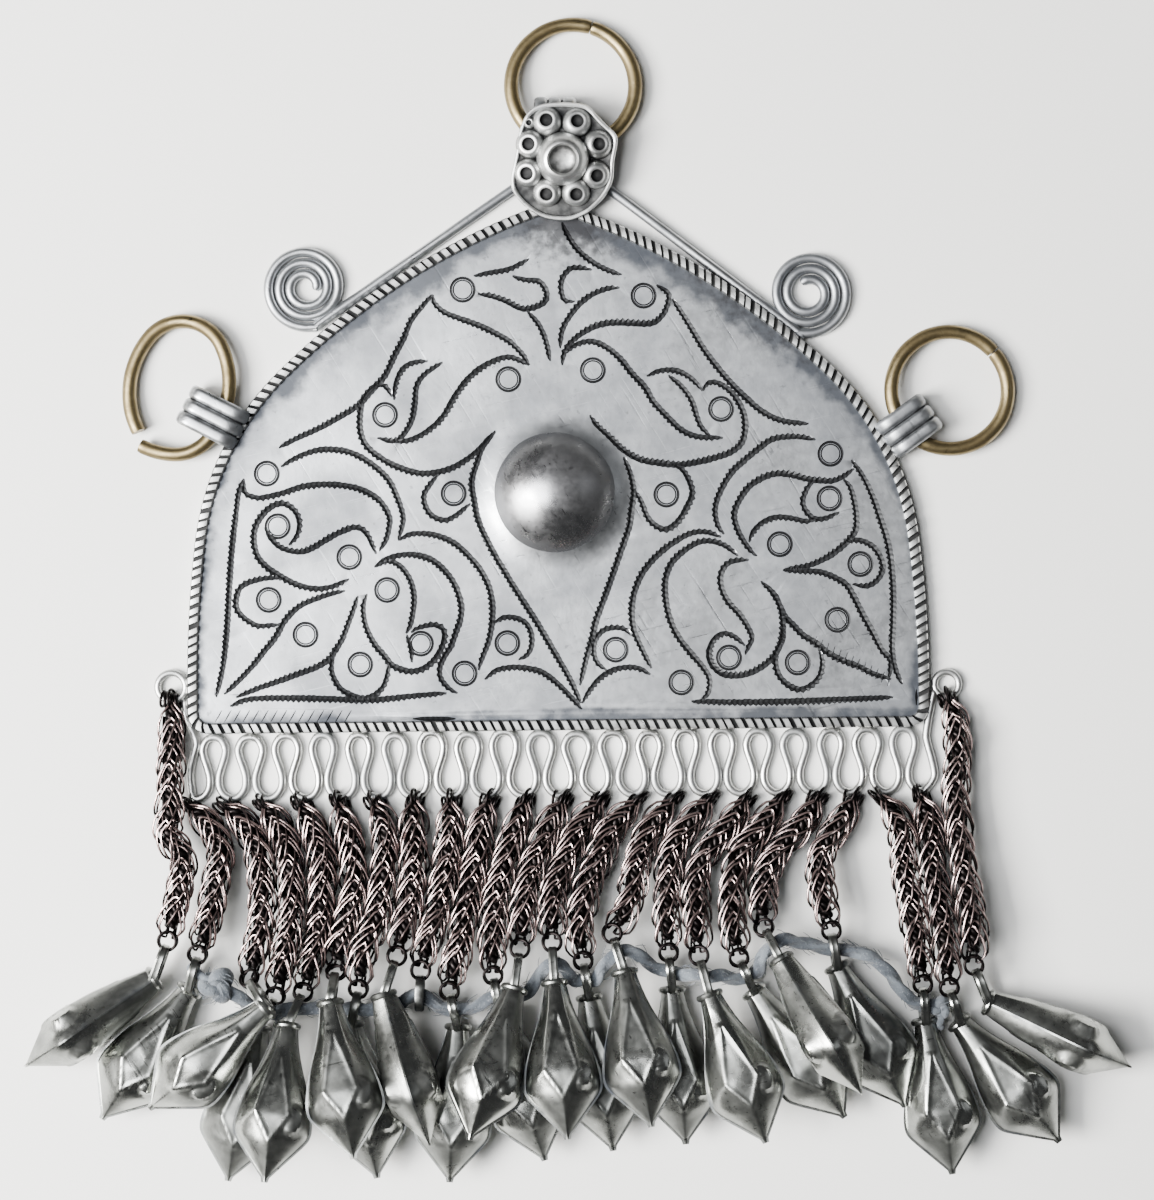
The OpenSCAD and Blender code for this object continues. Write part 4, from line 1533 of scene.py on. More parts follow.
DROPS = (
    DropPlace(-63.8, -57.7, 4.6, 214, 5, 90, 70, 8), DropPlace(-58.7, -59.6, 3.2, 236, 4, 0, 75, 20),
    DropPlace(-46.3, -61.2, 10.8, 221, -3, 0, 127, -40), DropPlace(-48.2, -65.4, 3.2, 259, 4, 0, 62, 20),
    DropPlace(-43.4, -64.4, 7.8, 263, 17, 0, 66, -36), DropPlace(-36.8, -60.8, 9.0, 280, 15, 0, 84, -50),
    DropPlace(-34.1, -64.9, 3.2, 280, 4, 0, 78, 20), DropPlace(-28.9, -59.8, 7.6, 288, 9, 90, 72, -18),
    DropPlace(-17.9, -65.2, 3.2, 267, 4, 0, 102, 20), DropPlace(-9.3, -58.9, 7.7, 253, 17, 0, 82, -18),
    DropPlace(-11.5, -62.9, 3.2, 287, 4, 0, 100, 20), DropPlace(-3.2, -58.0, 7.5, 275, 16, 0, 94, -18),
    DropPlace(2.0, -60.7, 3.2, 279, 4, 0, 99, 20), DropPlace(7.3, -56.4, 7.5, 280, 16, 0, 108, -18),
    DropPlace(14.6, -59.5, 3.2, 275, 4, 0, 96, 20), DropPlace(20.1, -59.8, 7.6, 291, 9, 0, 105, -18),
    DropPlace(27.0, -59.8, 3.2, 306, 4, 0, 114, 20), DropPlace(30.8, -54.4, 8.5, 301, 20, 90, 118, -36),
    DropPlace(39.6, -56.1, 3.2, 296, 4, 0, 100, 20), DropPlace(52.9, -64.3, 3.2, 280, 4, 0, 95, 20),
    DropPlace(58.2, -64.5, 3.2, 310, 4, 0, 108, 20), DropPlace(62.4, -61.3, 4.6, 336, 5, 90, 112, 8),
)
BARE_BAIL = DropPlace(-23.7, -62.6, 5.2, 0, 0, 0, 88, 0)


@dataclass
class Drop:
    """A hollow pointed drop of two pressed halves, with its collar and its strap bail."""

    number: int
    place: DropPlace
    metal: bpy.types.Material
    length: float = 23.0
    half_w: float = 5.7
    neck: float = 1.6
    shoulder_x: float = 16.0
    rows: int = 72
    columns: int = 24
    flange: float = 0.35
    flange_z: float = 0.13
    least_w: float = 0.12
    collar_r: float = 1.6
    collar_wire: float = 0.52
    strap_r: float = 2.2
    strap_end: float = 5.6
    seam_z: float = 0.14
    soft_rounds: int = 9
    ridge: tuple = ((13.4, 17.6), (2.7, 0.0))
    ridge_z: float = 0.17
    side_ridge: tuple = ((5.0, 13.5), (0.3, 2.7))
    side_ridge_z: float = 0.15
    dimple_at: tuple = (14.2, 3.05)
    dimple_size: tuple = (1.9, 1.4)
    dimple_z: float = 3.45

    def width(self, x: np.ndarray) -> np.ndarray:
        """Half the drop's width along its length: hollow at the neck, full and rounded at the shoulder.

        Args:
            x: Distances from the collar.

        Returns:
            The half widths.
        """
        share = x / self.shoulder_x
        up = self.neck + (self.half_w - self.neck) * share
        up = up + 0.45 * np.sin(np.pi * np.clip(share / 0.6 - 0.67, 0, 1))
        up = up - 0.18 * np.sin(np.pi * np.clip(share / 0.4, 0, 1))
        down = 1.06 * self.half_w * (self.length - x) / (self.length - self.shoulder_x)
        soft = 0.5
        both = -soft * np.log(np.exp(-up / soft) + np.exp(-down / soft))
        end = np.clip((self.length - x) / 2.0, 0, 1)
        return np.maximum(end * both + (1 - end) * np.minimum(up, down), self.least_w)

    def panels(self, x: np.ndarray, y: np.ndarray) -> np.ndarray:
        """Height of one half over its plan, from its flat panels.

        Args:
            x: Distance from the collar.
            y: Distance from the middle line.

        Returns:
            The heights.
        """
        p = np.array([(0, 1.6, 0), (16, 5.7, 0), (23, 0, 0), (16, -5.7, 0), (0, -1.6, 0), (0, 0.8, 1.6),
                      (0, -0.8, 1.6), (5.5, 0, 2.8), (13.6, 2.5, 4.0), (13.6, -2.5, 4.0), (17.6, 0, 3.7)])
        best = np.zeros_like(x)
        for a, b, c in ((5, 6, 4), (5, 4, 0), (7, 6, 5), (1, 5, 0), (1, 8, 5), (8, 7, 5), (6, 3, 4),
                        (9, 3, 6), (7, 9, 6), (8, 9, 7), (10, 9, 8), (10, 8, 1), (2, 10, 1), (9, 10, 3),
                        (10, 2, 3)):
            e, f = p[b, :2] - p[a, :2], p[c, :2] - p[a, :2]
            area = e[0] * f[1] - e[1] * f[0]
            if abs(area) < 1e-9:
                continue
            dx, dy = x - p[a, 0], y - p[a, 1]
            s, t = (dx * f[1] - dy * f[0]) / area, (dy * e[0] - dx * e[1]) / area
            hit = (s >= -0.002) & (t >= -0.002) & (s + t <= 1.002)
            z = p[a, 2] + s * (p[b, 2] - p[a, 2]) + t * (p[c, 2] - p[a, 2])
            best = np.where(hit, np.maximum(best, z), best)
        return best

    def dented(self, x: np.ndarray, y: np.ndarray, z: np.ndarray, face: float) -> np.ndarray:
        """Heights with small dents and hollows.

        Args:
            x: Distance from the collar.
            y: Distance from the middle line.
            z: The even heights.
            face: 1 for the upper half and -1 for the lower.

        Returns:
            The dented heights.
        """
        seed = 7.3 * self.number + (20 if face < 0 else 0)
        made = z.copy()
        for at in np.ndindex(z.shape):
            fine = noise.noise(Vector((x[at] / 3.4, y[at] / 3.0, seed)))
            deep = noise.noise(Vector((x[at] / 6.0, y[at] / 5.0, seed + 5)))
            made[at] += z[at] / 4 * (0.13 * fine - 0.8 * max(0.0, deep - 0.36))
        return made

    def half(self, face: float) -> tuple[np.ndarray, np.ndarray]:
        """Points of one half, with its painted shade and marks.

        Args:
            face: 1 for the upper half and -1 for the lower.

        Returns:
            A grid of points and a grid of rows of painted shade and marks.
        """
        xs = np.concatenate([np.linspace(0, self.length - 0.35, self.rows), [self.length]])
        vs = np.linspace(-1, 1, 2 * self.columns + 1)
        x, w = np.repeat(xs[:, None], len(vs), 1), self.width(xs)[:, None]
        y = vs[None] * w
        straight = np.interp(xs, [0, self.shoulder_x, self.length], [self.neck, self.half_w, 0.02])
        full = vs[None] * straight[:, None]
        z = self.panels(x, full)
        crown = z[:, self.columns][:, None] * (1 - np.abs(vs[None]) ** 2.6) ** 0.6
        z = 0.58 * z + 0.44 * crown
        for _ in range(self.soft_rounds):
            beside = z[:-2, 1:-1] + z[2:, 1:-1] + z[1:-1, :-2] + z[1:-1, 2:]
            z[1:-1, 1:-1] = (4 * z[1:-1, 1:-1] + beside) / 8
        ridge_y = np.interp(x, *self.ridge)
        on_v = np.exp(-((np.abs(y) - ridge_y) / 0.42) ** 2) * ((x > 13.3) & (x < 18.0))
        side_y = np.interp(x, *self.side_ridge)
        on_side = np.exp(-((np.abs(y) - side_y) / 0.45) ** 2) * ((x > 4.5) & (x < 13.7))
        z = z + self.ridge_z * on_v + self.side_ridge_z * on_side
        (at_x, at_y), (wide, high) = self.dimple_at, self.dimple_size
        off = np.hypot((x - at_x) / wide, (y - at_y) / high)
        dimple = self.dimple_z - 0.2 * (np.abs(y) - at_y) + 0.28 * (1 - off ** 2)
        on_oval = np.clip(5 - 4 * off, 0, 1)
        z = z * (1 - on_oval) + np.maximum(z, dimple) * on_oval
        # Painted shade: a dark outline round the dimple.
        rim = np.exp(-((off - 1.2) / 0.14) ** 2) * (np.abs(y) > 1.9)
        z = np.maximum(self.dented(x, y, z, face), 0) + self.seam_z
        out = w[:, 0] + self.flange * np.clip((xs - 8) / 6, 0.2, 1)
        sides = [np.column_stack([xs, s * out, np.full(len(xs), self.flange_z)])[:, None] for s in (-1, 1)]
        grid = np.concatenate([sides[0], np.stack([x, y, z], axis=2), sides[1]], axis=1)
        grid[-1, :, 0] += self.flange
        grid[-1, :, 2] = self.flange_z
        grid[..., 2] *= face
        return grid, self.marks_of_light_and_wear(grid, w, on_v, rim)

    def marks_of_light_and_wear(self, grid: np.ndarray, w: np.ndarray, on_v: np.ndarray, rim: np.ndarray) -> np.ndarray:
        """Marks of one half: cuts on the V, and painted shade round the dimple, at the seam and at the neck.

        Args:
            grid: Its points, flange included.
            w: Half its width at each row.
            on_v: 1 on the V shaped crease.
            rim: 1 round the dimple.

        Returns:
            A grid of rows of painted shade and marks.
        """
        wear = np.zeros(grid.shape)
        cuts = (np.sin(grid[..., 1] * 9.0) > 0.55) & (grid[..., 0] > 14.4) & (grid[..., 0] < 17.4)
        # Red: dark cuts across the V, and painted shade round the dimple.
        wear[:, 1:-1, 0] = np.maximum(0.7 * cuts[:, 1:-1] * (on_v > 0.6), 0.45 * rim)
        inner = (w - np.abs(grid[..., 1])) / np.maximum(w, 0.8)
        # Green: painted shade along the seam, fading out near the tip.
        wear[..., 1] = 0.6 * np.clip(1 - inner / 0.22, 0, 1) * np.clip((21.5 - grid[..., 0]) / 2, 0, 1)
        # Blue: painted shade at the neck, fading along the drop.
        wear[..., 2] = np.clip(0.42 - 0.08 * grid[..., 0], 0, 1)
        return wear

    def shell(self) -> tuple[tuple, np.ndarray]:
        """The two halves as one closed shell.

        Returns:
            The part and its rows of painted shade and marks.
        """
        (upper, upper_shade_and_marks), (lower, lower_shade_and_marks) = self.half(1), self.half(-1)
        rings = np.concatenate([upper, lower[:, ::-1]], axis=1)
        wear = np.concatenate([upper_shade_and_marks, lower_shade_and_marks[:, ::-1]], axis=1)
        return swept(rings), wear.reshape(-1, 3)

    def strap(self, low: float) -> tuple[tuple, np.ndarray]:
        """The bail: a strap bent to a long ring.

        Args:
            low: Where the bail starts, before the collar.

        Returns:
            The part and its rows of painted shade, in the bail's own frame.
        """
        r = self.strap_r
        near, far = low + r, self.strap_end - r
        path = [(x, 0.0, -1.0) for x in np.linspace(near, far, 5)]
        path += [(far, *ray(a)) for a in range(-75, 90, 15)]
        path += [(x, 0.0, 1.0) for x in np.linspace(far, near, 5)]
        path += [(near, *ray(a)) for a in range(105, 270, 15)]
        rings, wear = [], []
        for x, out_x, out_z in path:
            ring = []
            for y, depth in ((-0.66, 0.14), (-0.38, 0.0), (0.0, 0.05), (0.38, 0.0), (0.66, 0.14),
                             (0.66, 0.55), (0.0, 0.6), (-0.66, 0.55)):
                ring.append((x + out_x * (r - depth), y, out_z * (r - depth)))
                # Painted shade on the strap's inner side and at its edges.
                wear.append((0.0, 0.3 if depth > 0.1 else 0.05, 0.5 if depth > 0.3 else 0.1))
            rings.append(ring)
        return swept(np.array(rings), closed=True), np.array(wear)

    def hung(self, part: tuple, way: float, rise: float) -> tuple:
        """A part that starts at the collar, raised and turned to where it hangs.

        Args:
            part: Vertices and faces.
            way: Its direction in degrees.
            rise: How far it points upwards, in degrees.

        Returns:
            The placed part.
        """
        return moved(moved(part, (0, 0, 0), 0, -rise, "Y"), (self.place.x, self.place.y, self.place.z), way)

    def make(self) -> bpy.types.Object:
        """Model the drop.

        Returns:
            Its object.
        """
        place, r = self.place, self.collar_r
        shell, shell_shade_and_marks = self.shell()
        rolled = moved(shell, (0, 0, 0), 0, place.roll, "X")
        turns = np.linspace(0, 2 * np.pi, 28, False)
        ring = np.array([(0.0, r * math.cos(a), r * math.sin(a)) for a in turns])
        collar = wire(ring, self.collar_wire, 10, closed=True)
        collar_wear = np.tile((0.0, 0.15, 0.3), (len(collar[0]), 1))
        tip = self.hung(joined([rolled, collar]), place.way, place.rise)
        strap, strap_shade = self.strap(-1.0)
        part = joined([tip, self.hung(strap, place.bail, place.bail_rise)])
        name = f"drop_{self.number:02d}"
        return Piece(f"nickel_{name}", part, self.metal, Slot.NICKEL, nodes=(name,), smooth=33,
                     wear=(np.concatenate([shell_shade_and_marks, collar_wear, strap_shade]), None)).make()


@dataclass
class Chain:
    """A strand of folded links between a loop's foot and a bail."""

    number: int
    way: Points
    pull: np.ndarray
    metal: bpy.types.Material
    pitch: float = 3.3
    wire_r: float = 0.19
    wire_sides: int = 6
    half_w: float = 2.15
    step: float = 0.25
    foot_reach: float = 1.6
    foot_drop: float = -0.5
    first_at: float = -0.1
    pair_gap: float = 0.8
    last_reach: float = 6.3
    end_gap: float = 4.6
    side_turn: float = 86
    turn_play: float = 14
    # Three dark core wires stand in for the shade inside the strand.
    shade_core_off: float = 0.6
    shade_core_r: float = 0.5
    hook_wire: float = 0.24

    def link(self) -> np.ndarray:
        """Middle line of one folded link: a front fold, two low sides and a back fold.

        Returns:
            Its points.
        """
        w = self.half_w
        half = [(0.16 * w, 0.3, 1.3), (0.5 * w, 1.3, 1.3), (0.83 * w, 2.8, 1.05), (w, 4.3, 0.6),
                (0.93 * w, 5.5, 0.1), (0.6 * w, 6.1, -0.4), (0.3 * w, 4.8, -0.9), (0.22 * w, 2.4, -1.2)]
        line = [(0.0, 0.0, 1.25)] + half + [(0.0, 1.0, -1.25)] + [(-x, y, z) for x, y, z in reversed(half)]
        return smooth_way(line, 0.6, True)

    def coil(self, at: np.ndarray, along: np.ndarray, r: float, stand: float = 0.9,
             lie: float = 0.25) -> tuple:
        """A small ring of wire that hooks the strand on.

        Args:
            at: Its middle.
            along: Direction of the strand.
            r: Its radius.
            stand: How much the ring stands up.
            lie: How much it lies flat.

        Returns:
            The part.
        """
        side = unit(np.cross(along, (0, 0, 1.0)))
        up = np.cross(side, along)
        spin = np.linspace(0, 2 * np.pi, 22, endpoint=False)
        ring = at + r * (np.cos(spin)[:, None] * along + np.sin(spin)[:, None] * (stand * up + lie * side))
        return wire(ring, self.hook_wire, 8, closed=True)

    def links(self, way: np.ndarray, chance: random.Random) -> list[tuple]:
        """The folded wires: pairs in front, and one turned to the side after each pair.

        Args:
            way: Middle line of the strand.
            chance: Source of the unevenness.

        Returns:
            Parts, each with its rubbed places, painted as highlights.
        """
        run = run_along(way)
        _, side, up = carried_frames(way)
        link = self.link()
        count = max(2, round((run[-1] - self.end_gap) / self.pitch) + 1)
        made = []
        for k in range(4 * count - 2):
            pair_at = self.first_at + (k // 2) * (run[-1] - self.last_reach) / (2 * count - 2)
            s = pair_at + self.pair_gap * (k % 2) + chance.uniform(-0.15, 0.15)
            beside = k // 2 % 2
            if beside and k % 2:
                continue
            lift = (0.84 if k % 2 else 1.0) * (0.92 if beside else 1.0) + chance.uniform(-0.08, 0.08)
            c, sn = ray((self.side_turn if beside else 0) + chance.uniform(-self.turn_play, self.turn_play))
            at = s + link[:, 1] * chance.uniform(0.9, 1.05)
            reach = [min(len(way) - 1, int(np.searchsorted(run, y))) for y in at]
            lift = lift * np.clip(0.35 + at / 3.5, 0.35, 1) * np.clip(0.6 + (run[-1] - at) / 4, 0.55, 1)
            x = lift * (link[:, 0] * c - link[:, 2] * sn)
            z = lift * (link[:, 0] * sn + link[:, 2] * c)
            line = way[reach] + side[reach] * x[:, None] + up[reach] * z[:, None]
            part = wire(line, self.wire_r, self.wire_sides, closed=True)
            # Rubbed copper painted as highlights: on each wire's outer, upper side, stronger towards the
            # front, weaker on links turned aside.
            out = unit(0.35 * side[reach] * x[:, None] + up[reach] * (0.8 + np.maximum(z, 0))[:, None])
            from_middle = part[0] - np.repeat(line, self.wire_sides, 0)
            facing = (from_middle * np.repeat(out, self.wire_sides, 0)).sum(1) / self.wire_r
            front = np.clip(0.3 + 0.7 * np.repeat(z, self.wire_sides), 0, 1) * (0.6 if beside else 1.0)
            made.append((part, np.clip(1.6 * facing - 0.45, 0, 1) * front))
        return made

    def shade_core(self, way: np.ndarray) -> list[tuple]:
        """Three dark wires twisted inside the strand, which stand in for the shade between its links.

        Args:
            way: Middle line of the strand.

        Returns:
            Parts, each with no rubbed places.
        """
        _, side, up = carried_frames(way)
        spin = run_along(way) * 2 * math.pi / self.pitch
        made = []
        for start in (0.0, 2.1, 4.2):
            off = np.cos(spin + start)[:, None] * side + 0.7 * np.sin(spin + start)[:, None] * up
            part = wire((way + self.shade_core_off * off)[2:-6], self.shade_core_r, 6)
            made.append((part, np.zeros(len(part[0]))))
        return made

    def hooks(self, way: np.ndarray, chance: random.Random) -> list[tuple]:
        """The small rings at the strand's foot and bail.

        Args:
            way: Middle line of the strand.
            chance: Source of the unevenness.

        Returns:
            Parts, each with its faint rubbed places.
        """
        along, pull = carried_frames(way)[0][0], self.pull
        made = [self.coil(way[0] + along * 0.1, along, 1.5),
                self.coil(way[-1] + 0.5 * pull, pull, 1.45, 0.2, 0.97),
                self.coil(way[-1] + 0.6 * pull, pull, 1.4, -0.3, 0.95)]
        for k in range(5):
            lean = unit(along + (chance.uniform(-0.3, 0.3), 0, chance.uniform(-0.4, 0.4)))
            shift = ((k - 2) * 0.55 + chance.uniform(-0.2, 0.2), chance.uniform(-0.5, 0.5), -0.3)
            made.append(self.coil(way[0] + along * 0.6 + shift, lean, 0.95 + chance.uniform(0, 0.3)))
        return [(coil, np.full(len(coil[0]), 0.12)) for coil in made]

    def make(self) -> bpy.types.Object:
        """Model the strand.

        Returns:
            Its object.
        """
        chance = random.Random(100 + self.number)
        route = [np.asarray(p, float) for p in self.way]
        route[0] = route[0] + self.foot_reach * unit(route[0] - route[1]) + (0, 0, self.foot_drop)
        way = smooth_way(route, self.step)
        made = self.links(way, chance) + self.shade_core(way) + self.hooks(way, chance)
        part = joined(part for part, _ in made)
        wear = np.zeros((len(part[0]), 3))
        wear[:, 0] = np.concatenate([rubbed_highlight for _, rubbed_highlight in made])
        name = f"chain_{self.number:02d}"
        return Piece(f"linked_{name}", part, self.metal, Slot.CHAIN, nodes=(name,), smooth=60,
                     wear=(wear, None)).make()


CHAIN_WAYS = (
    ((-61.5, -30.7), (-61.8, -35.5), (-59.5, -39.7), (-59.9, -44.3), (-61.0, -49.0)),
    ((-55.8, -34.5), (-53.8, -38.5), (-54.4, -42.8), (-55.5, -48.8)),
    ((-50.5, -34.2), (-48.3, -38.0), (-47.6, -42.8), (-47.5, -48.9), (-48.5, -54.5)),
    ((-45.6, -34.2), (-43.9, -38.2), (-43.3, -42.8), (-43.2, -48.9), (-44.2, -54.5)),
    ((-40.0, -35.2), (-38.6, -39.8), (-38.6, -44.3), (-38.9, -49.5), (-40.0, -54.2)),
    ((-34.3, -37.5), (-33.6, -43.5), (-34.4, -48.1), (-35.8, -52.6)),
    ((-29.2, -34.5), (-28.9, -38.5), (-29.4, -44.3), (-30.2, -48.9), (-32.2, -54.0)),
    ((-24.7, -35.2), (-24.6, -41.3), (-25.2, -46.6), (-26.3, -51.0)),
    ((-19.1, -35.2), (-19.8, -41.3), (-20.7, -46.6), (-22.2, -51.5)),
    ((-14.5, -35.2), (-15.0, -39.8), (-16.2, -44.8), (-17.6, -52.4)),
    ((-9.6, -36.1), (-10.8, -40.5), (-12.1, -46.0), (-12.6, -52.0)),
    ((-4.4, -35.5), (-5.6, -38.5), (-7.1, -42.6), (-8.0, -48.5)),
    ((0.3, -35.2), (-1.2, -39.2), (-3.2, -43.6), (-3.6, -48.5)),
    ((5.4, -35.0), (3.4, -39.8), (1.5, -44.3), (0.5, -50.0)),
    ((11.7, -34.6), (9.5, -39.2), (8.5, -44.3), (7.2, -48.0)),
    ((17.0, -34.6), (14.6, -38.6), (13.9, -44.3), (13.8, -49.0)),
    ((23.2, -34.8), (19.9, -38.6), (18.2, -42.8), (18.2, -48.5)),
    ((28.4, -34.6), (25.4, -38.3), (23.8, -42.4), (23.6, -48.5)),
    ((34.1, -34.8), (31.0, -38.0), (29.0, -41.6), (28.3, -45.4)),
    ((39.6, -35.2), (37.3, -38.5), (37.0, -42.8), (37.5, -46.6)),
    ((49.5, -35.0), (49.8, -41.0), (50.9, -47.0), (51.6, -52.7)),
    ((53.9, -35.2), (54.0, -41.3), (55.1, -47.0), (55.9, -53.0)),
    ((58.0, -20.8), (57.6, -29.9), (58.4, -38.3), (59.3, -45.5), (60.1, -51.0)),
)
STRING_WAY = (
    (-52.6, -59.3, 4.9), (-51.2, -60.4, 4.6), (-49.5, -61.7, 4.2), (-47.0, -62.8, 4.1), (-45.6, -63.1, 4.4),
    (-44.4, -62.4, 5.4), (-42.5, -62.1, 6.1), (-40.7, -62.0, 5.7), (-39.2, -62.2, 5.0), (-36.6, -62.8, 4.3),
    (-33.6, -62.2, 4.2), (-31.2, -62.4, 4.1), (-28.6, -62.2, 4.1), (-26.4, -61.4, 4.5), (-23.6, -59.8, 5.2),
    (-21.4, -61.6, 4.7), (-18.5, -62.5, 4.2), (-15.6, -62.1, 4.2), (-11.6, -60.2, 4.2), (-8.4, -60.4, 4.2),
    (-6.2, -58.4, 5.0), (-4.9, -56.0, 6.3), (-3.4, -55.2, 6.6), (-1.6, -56.0, 5.9), (-0.4, -58.0, 4.6),
    (1.4, -58.0, 4.2), (3.2, -57.6, 4.6), (4.5, -55.1, 5.9), (6.3, -53.7, 6.6), (8.4, -53.3, 6.3),
    (11.3, -55.5, 5.0), (14.3, -56.8, 4.2), (16.8, -57.0, 5.2), (19.4, -57.1, 6.6), (21.5, -57.0, 6.1),
    (23.8, -57.6, 4.9), (26.0, -57.4, 4.2), (27.5, -56.6, 4.7), (28.1, -54.4, 5.9), (29.7, -52.3, 6.8),
    (31.6, -51.6, 6.4), (35.0, -52.4, 5.0), (39.2, -53.4, 4.2), (42.2, -53.6, 4.2), (46.0, -55.4, 4.2),
    (49.0, -59.0, 4.2), (50.9, -61.2, 4.2), (52.7, -61.6, 4.2), (54.4, -61.8, 4.4),
)
DROP_OF_CHAIN = (*range(8), None, 8, 10, 9, *range(11, 22))


@dataclass
class Fringe:
    """Everything that hangs below the plate."""

    nickel: bpy.types.Material
    links: bpy.types.Material
    cotton: bpy.types.Material
    string_r: float = 0.93
    strand_r: float = 0.19
    strands: int = 3
    twist: float = 0.16
    fibres: int = 240
    left_eye_foot: tuple = (-61.6, -17.0)
    right_eye_foot: tuple = (57.0, -16.5)
    foot_depth: float = 11.7
    foot_z: float = 2.1
    middle_foot: int = 11
    seed: int = 11

    def string(self) -> bpy.types.Object:
        """Returns:
            Its object.
        """
        chance = random.Random(self.seed)
        way = smooth_way(STRING_WAY, 0.35)
        along, side, up = carried_frames(way)
        a = np.arange(18) * np.pi / 9
        rings = []
        for i, at in enumerate(way):
            swell = 1 + 0.06 * noise.noise(Vector((i * 0.08, 1.0, 0.0)))
            r = swell * (self.string_r + self.strand_r * np.cos(self.strands * (a - i * self.twist)))
            rings.append(at + r[:, None] * (np.cos(a)[:, None] * side[i] + np.sin(a)[:, None] * up[i]))
        parts = [swept(np.array(rings))]
        for _ in range(self.fibres):
            i = chance.randrange(4, len(way) - 4)
            parts.append(self.fibre(way[i], side[i], up[i], along[i], chance))
        piece = Piece("cotton_string", joined(parts), self.cotton, Slot.COTTON, nodes=("string",), smooth=60)
        knots = self.knots(chance)
        obj = piece.make()
        return obj

    @staticmethod
    def fibre(at: np.ndarray, side: np.ndarray, up: np.ndarray, along: np.ndarray,
              chance: random.Random) -> tuple:
        """One loose fibre of the cotton.

        Args:
            at: The string's middle there.
            side: Direction beside it.
            up: Direction above it.
            along: Direction along it.
            chance: Source of its bends.

        Returns:
            The part.
        """
        a = chance.uniform(-0.5, math.pi + 0.5)
        out = math.cos(a) * side + math.sin(a) * up
        root = at + 0.85 * out
        way = along * chance.choice((-1, 1))
        far = chance.uniform(0.4, 1.7)
        line = [root, root + 0.35 * far * out + 0.5 * far * way, root + 0.6 * far * out + 1.2 * far * way]
        return wire(smooth_way(line, 0.4), 0.045, 4)

    def knots(self, chance: random.Random) -> list[bpy.types.Object]:
        """Model the two knots.

        Args:
            chance: Source of the unevenness.

        Returns:
            Their objects.
        """
        made = []
        for name, at, size, turn, hairs in (("string_knot_left", (-54.2, -58.6, 5.0), 1.75, 145, 70),
                                            ("string_knot_right", (55.0, -62.0, 4.4), 1.15, 270, 22)):
            verts, faces = moved(self.knot(size, hairs, chance), at, turn)
            verts = np.column_stack([verts[:, :2], np.maximum(verts[:, 2], 0.1)])
            knot = Piece(f"tied_{name}", (verts, faces), self.cotton, Slot.COTTON, nodes=(name,), smooth=60)
            made.append(knot.make())
        return made

    @staticmethod
    def knot(size: float, hairs: int, chance: random.Random) -> tuple:
        """A knot: a turned length of the string with a frayed end.

        Args:
            size: Its radius.
            hairs: How many fibres stand out.
            chance: Source of the unevenness.

        Returns:
            The part, round the origin.
        """
        t = np.linspace(0, 2 * np.pi, 60, endpoint=False)
        turns = [np.sin(t) + 1.7 * np.sin(2 * t), np.cos(t) - 1.7 * np.cos(2 * t), -1.2 * np.sin(3 * t)]
        parts = [wire(np.stack(turns, axis=1) * size * 0.42, 0.62 * size * 0.95, 12, closed=True)]
        tail = [(0.6 * size, 0, 0.2), (1.6 * size, 0.3, 0.1), (2.4 * size, 0.1, -0.5),
                (3.0 * size, 0.6, -0.9)]
        parts.append(wire(smooth_way(tail, 0.3), 0.5 * size ** 0.5, 10))
        for _ in range(hairs):
            a, b = chance.uniform(0, 2 * math.pi), chance.uniform(-0.6, 1.4)
            out = np.array([math.cos(a) * math.cos(b), math.sin(a) * math.cos(b), math.sin(b)])
            beside = unit(np.cross(out, (0.3, 0.5, 0.8)))
            root = out * size * chance.uniform(0.8, 1.25)
            bend = chance.uniform(0.4, 1.1) * size * 0.6
            line = [root, root + bend * (0.7 * out + 0.5 * beside), root + bend * (0.9 * out + 1.5 * beside)]
            parts.append(wire(smooth_way(line, 0.4), 0.055, 4))
        return joined(parts)

    def bare(self) -> bpy.types.Object:
        """Model the bail that hangs without its drop.

        Returns:
            Its object.
        """
        drop = Drop(0, BARE_BAIL, self.nickel)
        strap, wear = drop.strap(0.0)
        part = drop.hung(strap, BARE_BAIL.bail, BARE_BAIL.bail_rise)
        return Piece("strap_of_lost_drop", part, self.nickel, Slot.SILVER, nodes=("bare_bail",),
                     wear=(wear + (0.0, 0.5, 0.4), None)).make()

    def chain(self, i: int) -> bpy.types.Object:
        """Model a chain, from its loop's foot to its bail.

        Args:
            i: The chain's number, from 0.

        Returns:
            Its object.
        """
        down, beside = ray(90 + PLATE.turn), (i - self.middle_foot) * PLATE.loop_step * ray(PLATE.turn)
        start = np.array(PLATE.place) - self.foot_depth * down + beside
        if i == 0:
            start = np.array(self.left_eye_foot)
        elif i == len(CHAIN_WAYS) - 1:
            start = np.array(self.right_eye_foot)
        drop = DROP_OF_CHAIN[i]
        place = BARE_BAIL if drop is None else DROPS[drop]
        end = place.bail_end()
        rise = end[2] - self.foot_z
        way = [np.array([*start, self.foot_z])]
        for x, y in CHAIN_WAYS[i]:
            way.append(np.array([x, y, self.foot_z + rise * (start[1] - y) / (start[1] - end[1])]))
        pull = unit(np.array([place.x, place.y, place.z]) - end)
        return Chain(i + 1, way + [end], pull, self.links).make()

    def make(self) -> list[bpy.types.Object]:
        """Model the drops and the chains; the string is made before.

        Returns:
            Their objects.
        """
        made = [Drop(i + 1, place, self.nickel).make() for i, place in enumerate(DROPS)]
        made.append(self.bare())
        return made + [self.chain(i) for i in range(len(CHAIN_WAYS))]


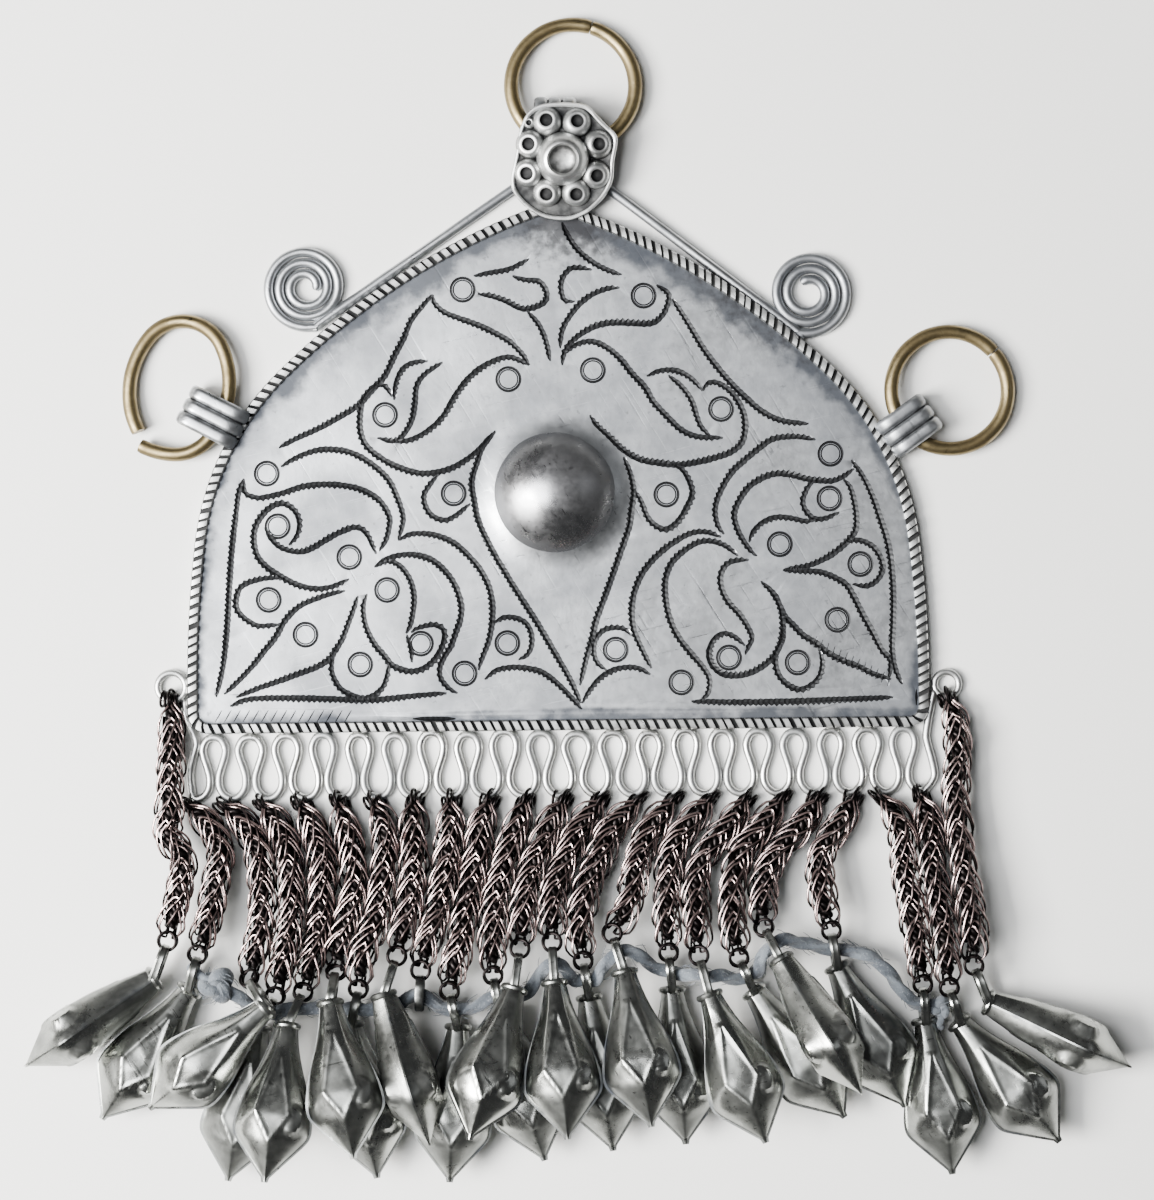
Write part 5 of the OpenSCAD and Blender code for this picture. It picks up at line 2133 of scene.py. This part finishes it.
# The picture
@dataclass
class Studio:
    """Camera, floor and lights, in metres; only the lens is in millimetres."""

    centre: tuple = (0.00015, -0.0004, 0.004)
    height: float = 0.45
    lens: float = 89.1
    floor_w: float = 3.0
    floor_z: float = -0.0001
    paper: tuple = (0.80, 0.80, 0.78)
    air: tuple = (0.72, 0.74, 0.76, 1.0)
    air_light: float = 0.08

    def camera(self) -> bpy.types.Object:
        """Look straight down on the pendant.

        Returns:
            The camera.
        """
        x, y, z = self.centre
        bpy.ops.object.camera_add(location=(x, y, z + self.height), rotation=(0, 0, 0))
        camera = bpy.context.active_object
        camera.name = "camera"
        camera.data.lens = self.lens
        camera.data.clip_start = 0.01
        bpy.context.scene.camera = camera
        return camera

    def floor(self) -> bpy.types.Object:
        """Lay the pale floor.

        Returns:
            Its object.
        """
        bpy.ops.mesh.primitive_plane_add(size=self.floor_w, location=(0, 0, self.floor_z))
        obj = bpy.context.active_object
        obj.name = "pale_floor"
        s = Shader("pale_paper")
        obj.data.materials.append(s.finish(Base_Color=self.paper, Roughness=0.9, Metallic=0.0))
        return obj

    def lamp(self, name: str, at: tuple, size: float, power: float, colour: tuple) -> bpy.types.Object:
        """Hang one square lamp that looks at the pendant.

        Args:
            name: Its name.
            at: Its place in metres.
            size: Its width.
            power: Its watts.
            colour: Its colour.

        Returns:
            The lamp.
        """
        bpy.ops.object.light_add(type="AREA", location=at)
        lamp = bpy.context.active_object
        lamp.name = name
        lamp.data.size, lamp.data.energy, lamp.data.color = size, power, colour
        lamp.rotation_euler = (-Vector(at)).to_track_quat("-Z", "Y").to_euler()
        return lamp

    def lights(self) -> None:
        """Light the pendant from the left and from above."""
        self.lamp("key", (-0.48, -0.10, 0.44), 0.30, 20.0, (1.0, 0.985, 0.96))
        self.lamp("overhead", (-0.34, 0.02, 0.74), 0.42, 8.0, (0.97, 0.98, 1.0))
        self.lamp("fill", (0.6, 0.2, 0.5), 0.3, 0.2, (0.95, 0.97, 1.0))
        world = bpy.data.worlds.new("studio_air")
        world.use_nodes = True
        background = world.node_tree.nodes["Background"]
        background.inputs[0].default_value, background.inputs[1].default_value = self.air, self.air_light
        bpy.context.scene.world = world


def main() -> None:
    """Build the scene in order: camera and string first, then the plate, the rings and the fringe."""
    logging.basicConfig(level=logging.INFO, format="%(name)s: %(message)s")
    silver = WornMetal("dark_silver").material()
    bright = WornMetal("rubbed_silver", bright=(0.68, 0.68, 0.66), dull=(0.40, 0.41, 0.41), cloud=8,
                       rough=0.26, pits=0.03).material()
    dome = WornMetal("polished_dome", bright=(0.46, 0.46, 0.47), dull=(0.30, 0.30, 0.31), cloud=7, rough=0.19,
                     scratch=0.1, pits=0.01, specks=0.0).material()
    brass = WornMetal("ring_brass", bright=(0.28, 0.222, 0.118), dull=(0.14, 0.108, 0.055),
                      dark=(0.03, 0.025, 0.015), cloud=5, rough=0.28, painted=False).material()
    nickel = WornMetal("nickel", bright=(0.43, 0.44, 0.415), dull=(0.145, 0.15, 0.143), cloud=9, rough=0.145,
                       scratch=0.15, pits=0.02, specks=0.0).material()
    studio = Studio()
    studio.camera()
    fringe = Fringe(nickel, ChainMetal().material(), Cotton().material())
    fringe.string()
    studio.floor()
    studio.lights()
    EngravedSheet(silver).make()
    PlateFittings(silver, dome, bright).make()
    Rings(brass).make()
    fringe.make()


if __name__ == "__main__":
    main()
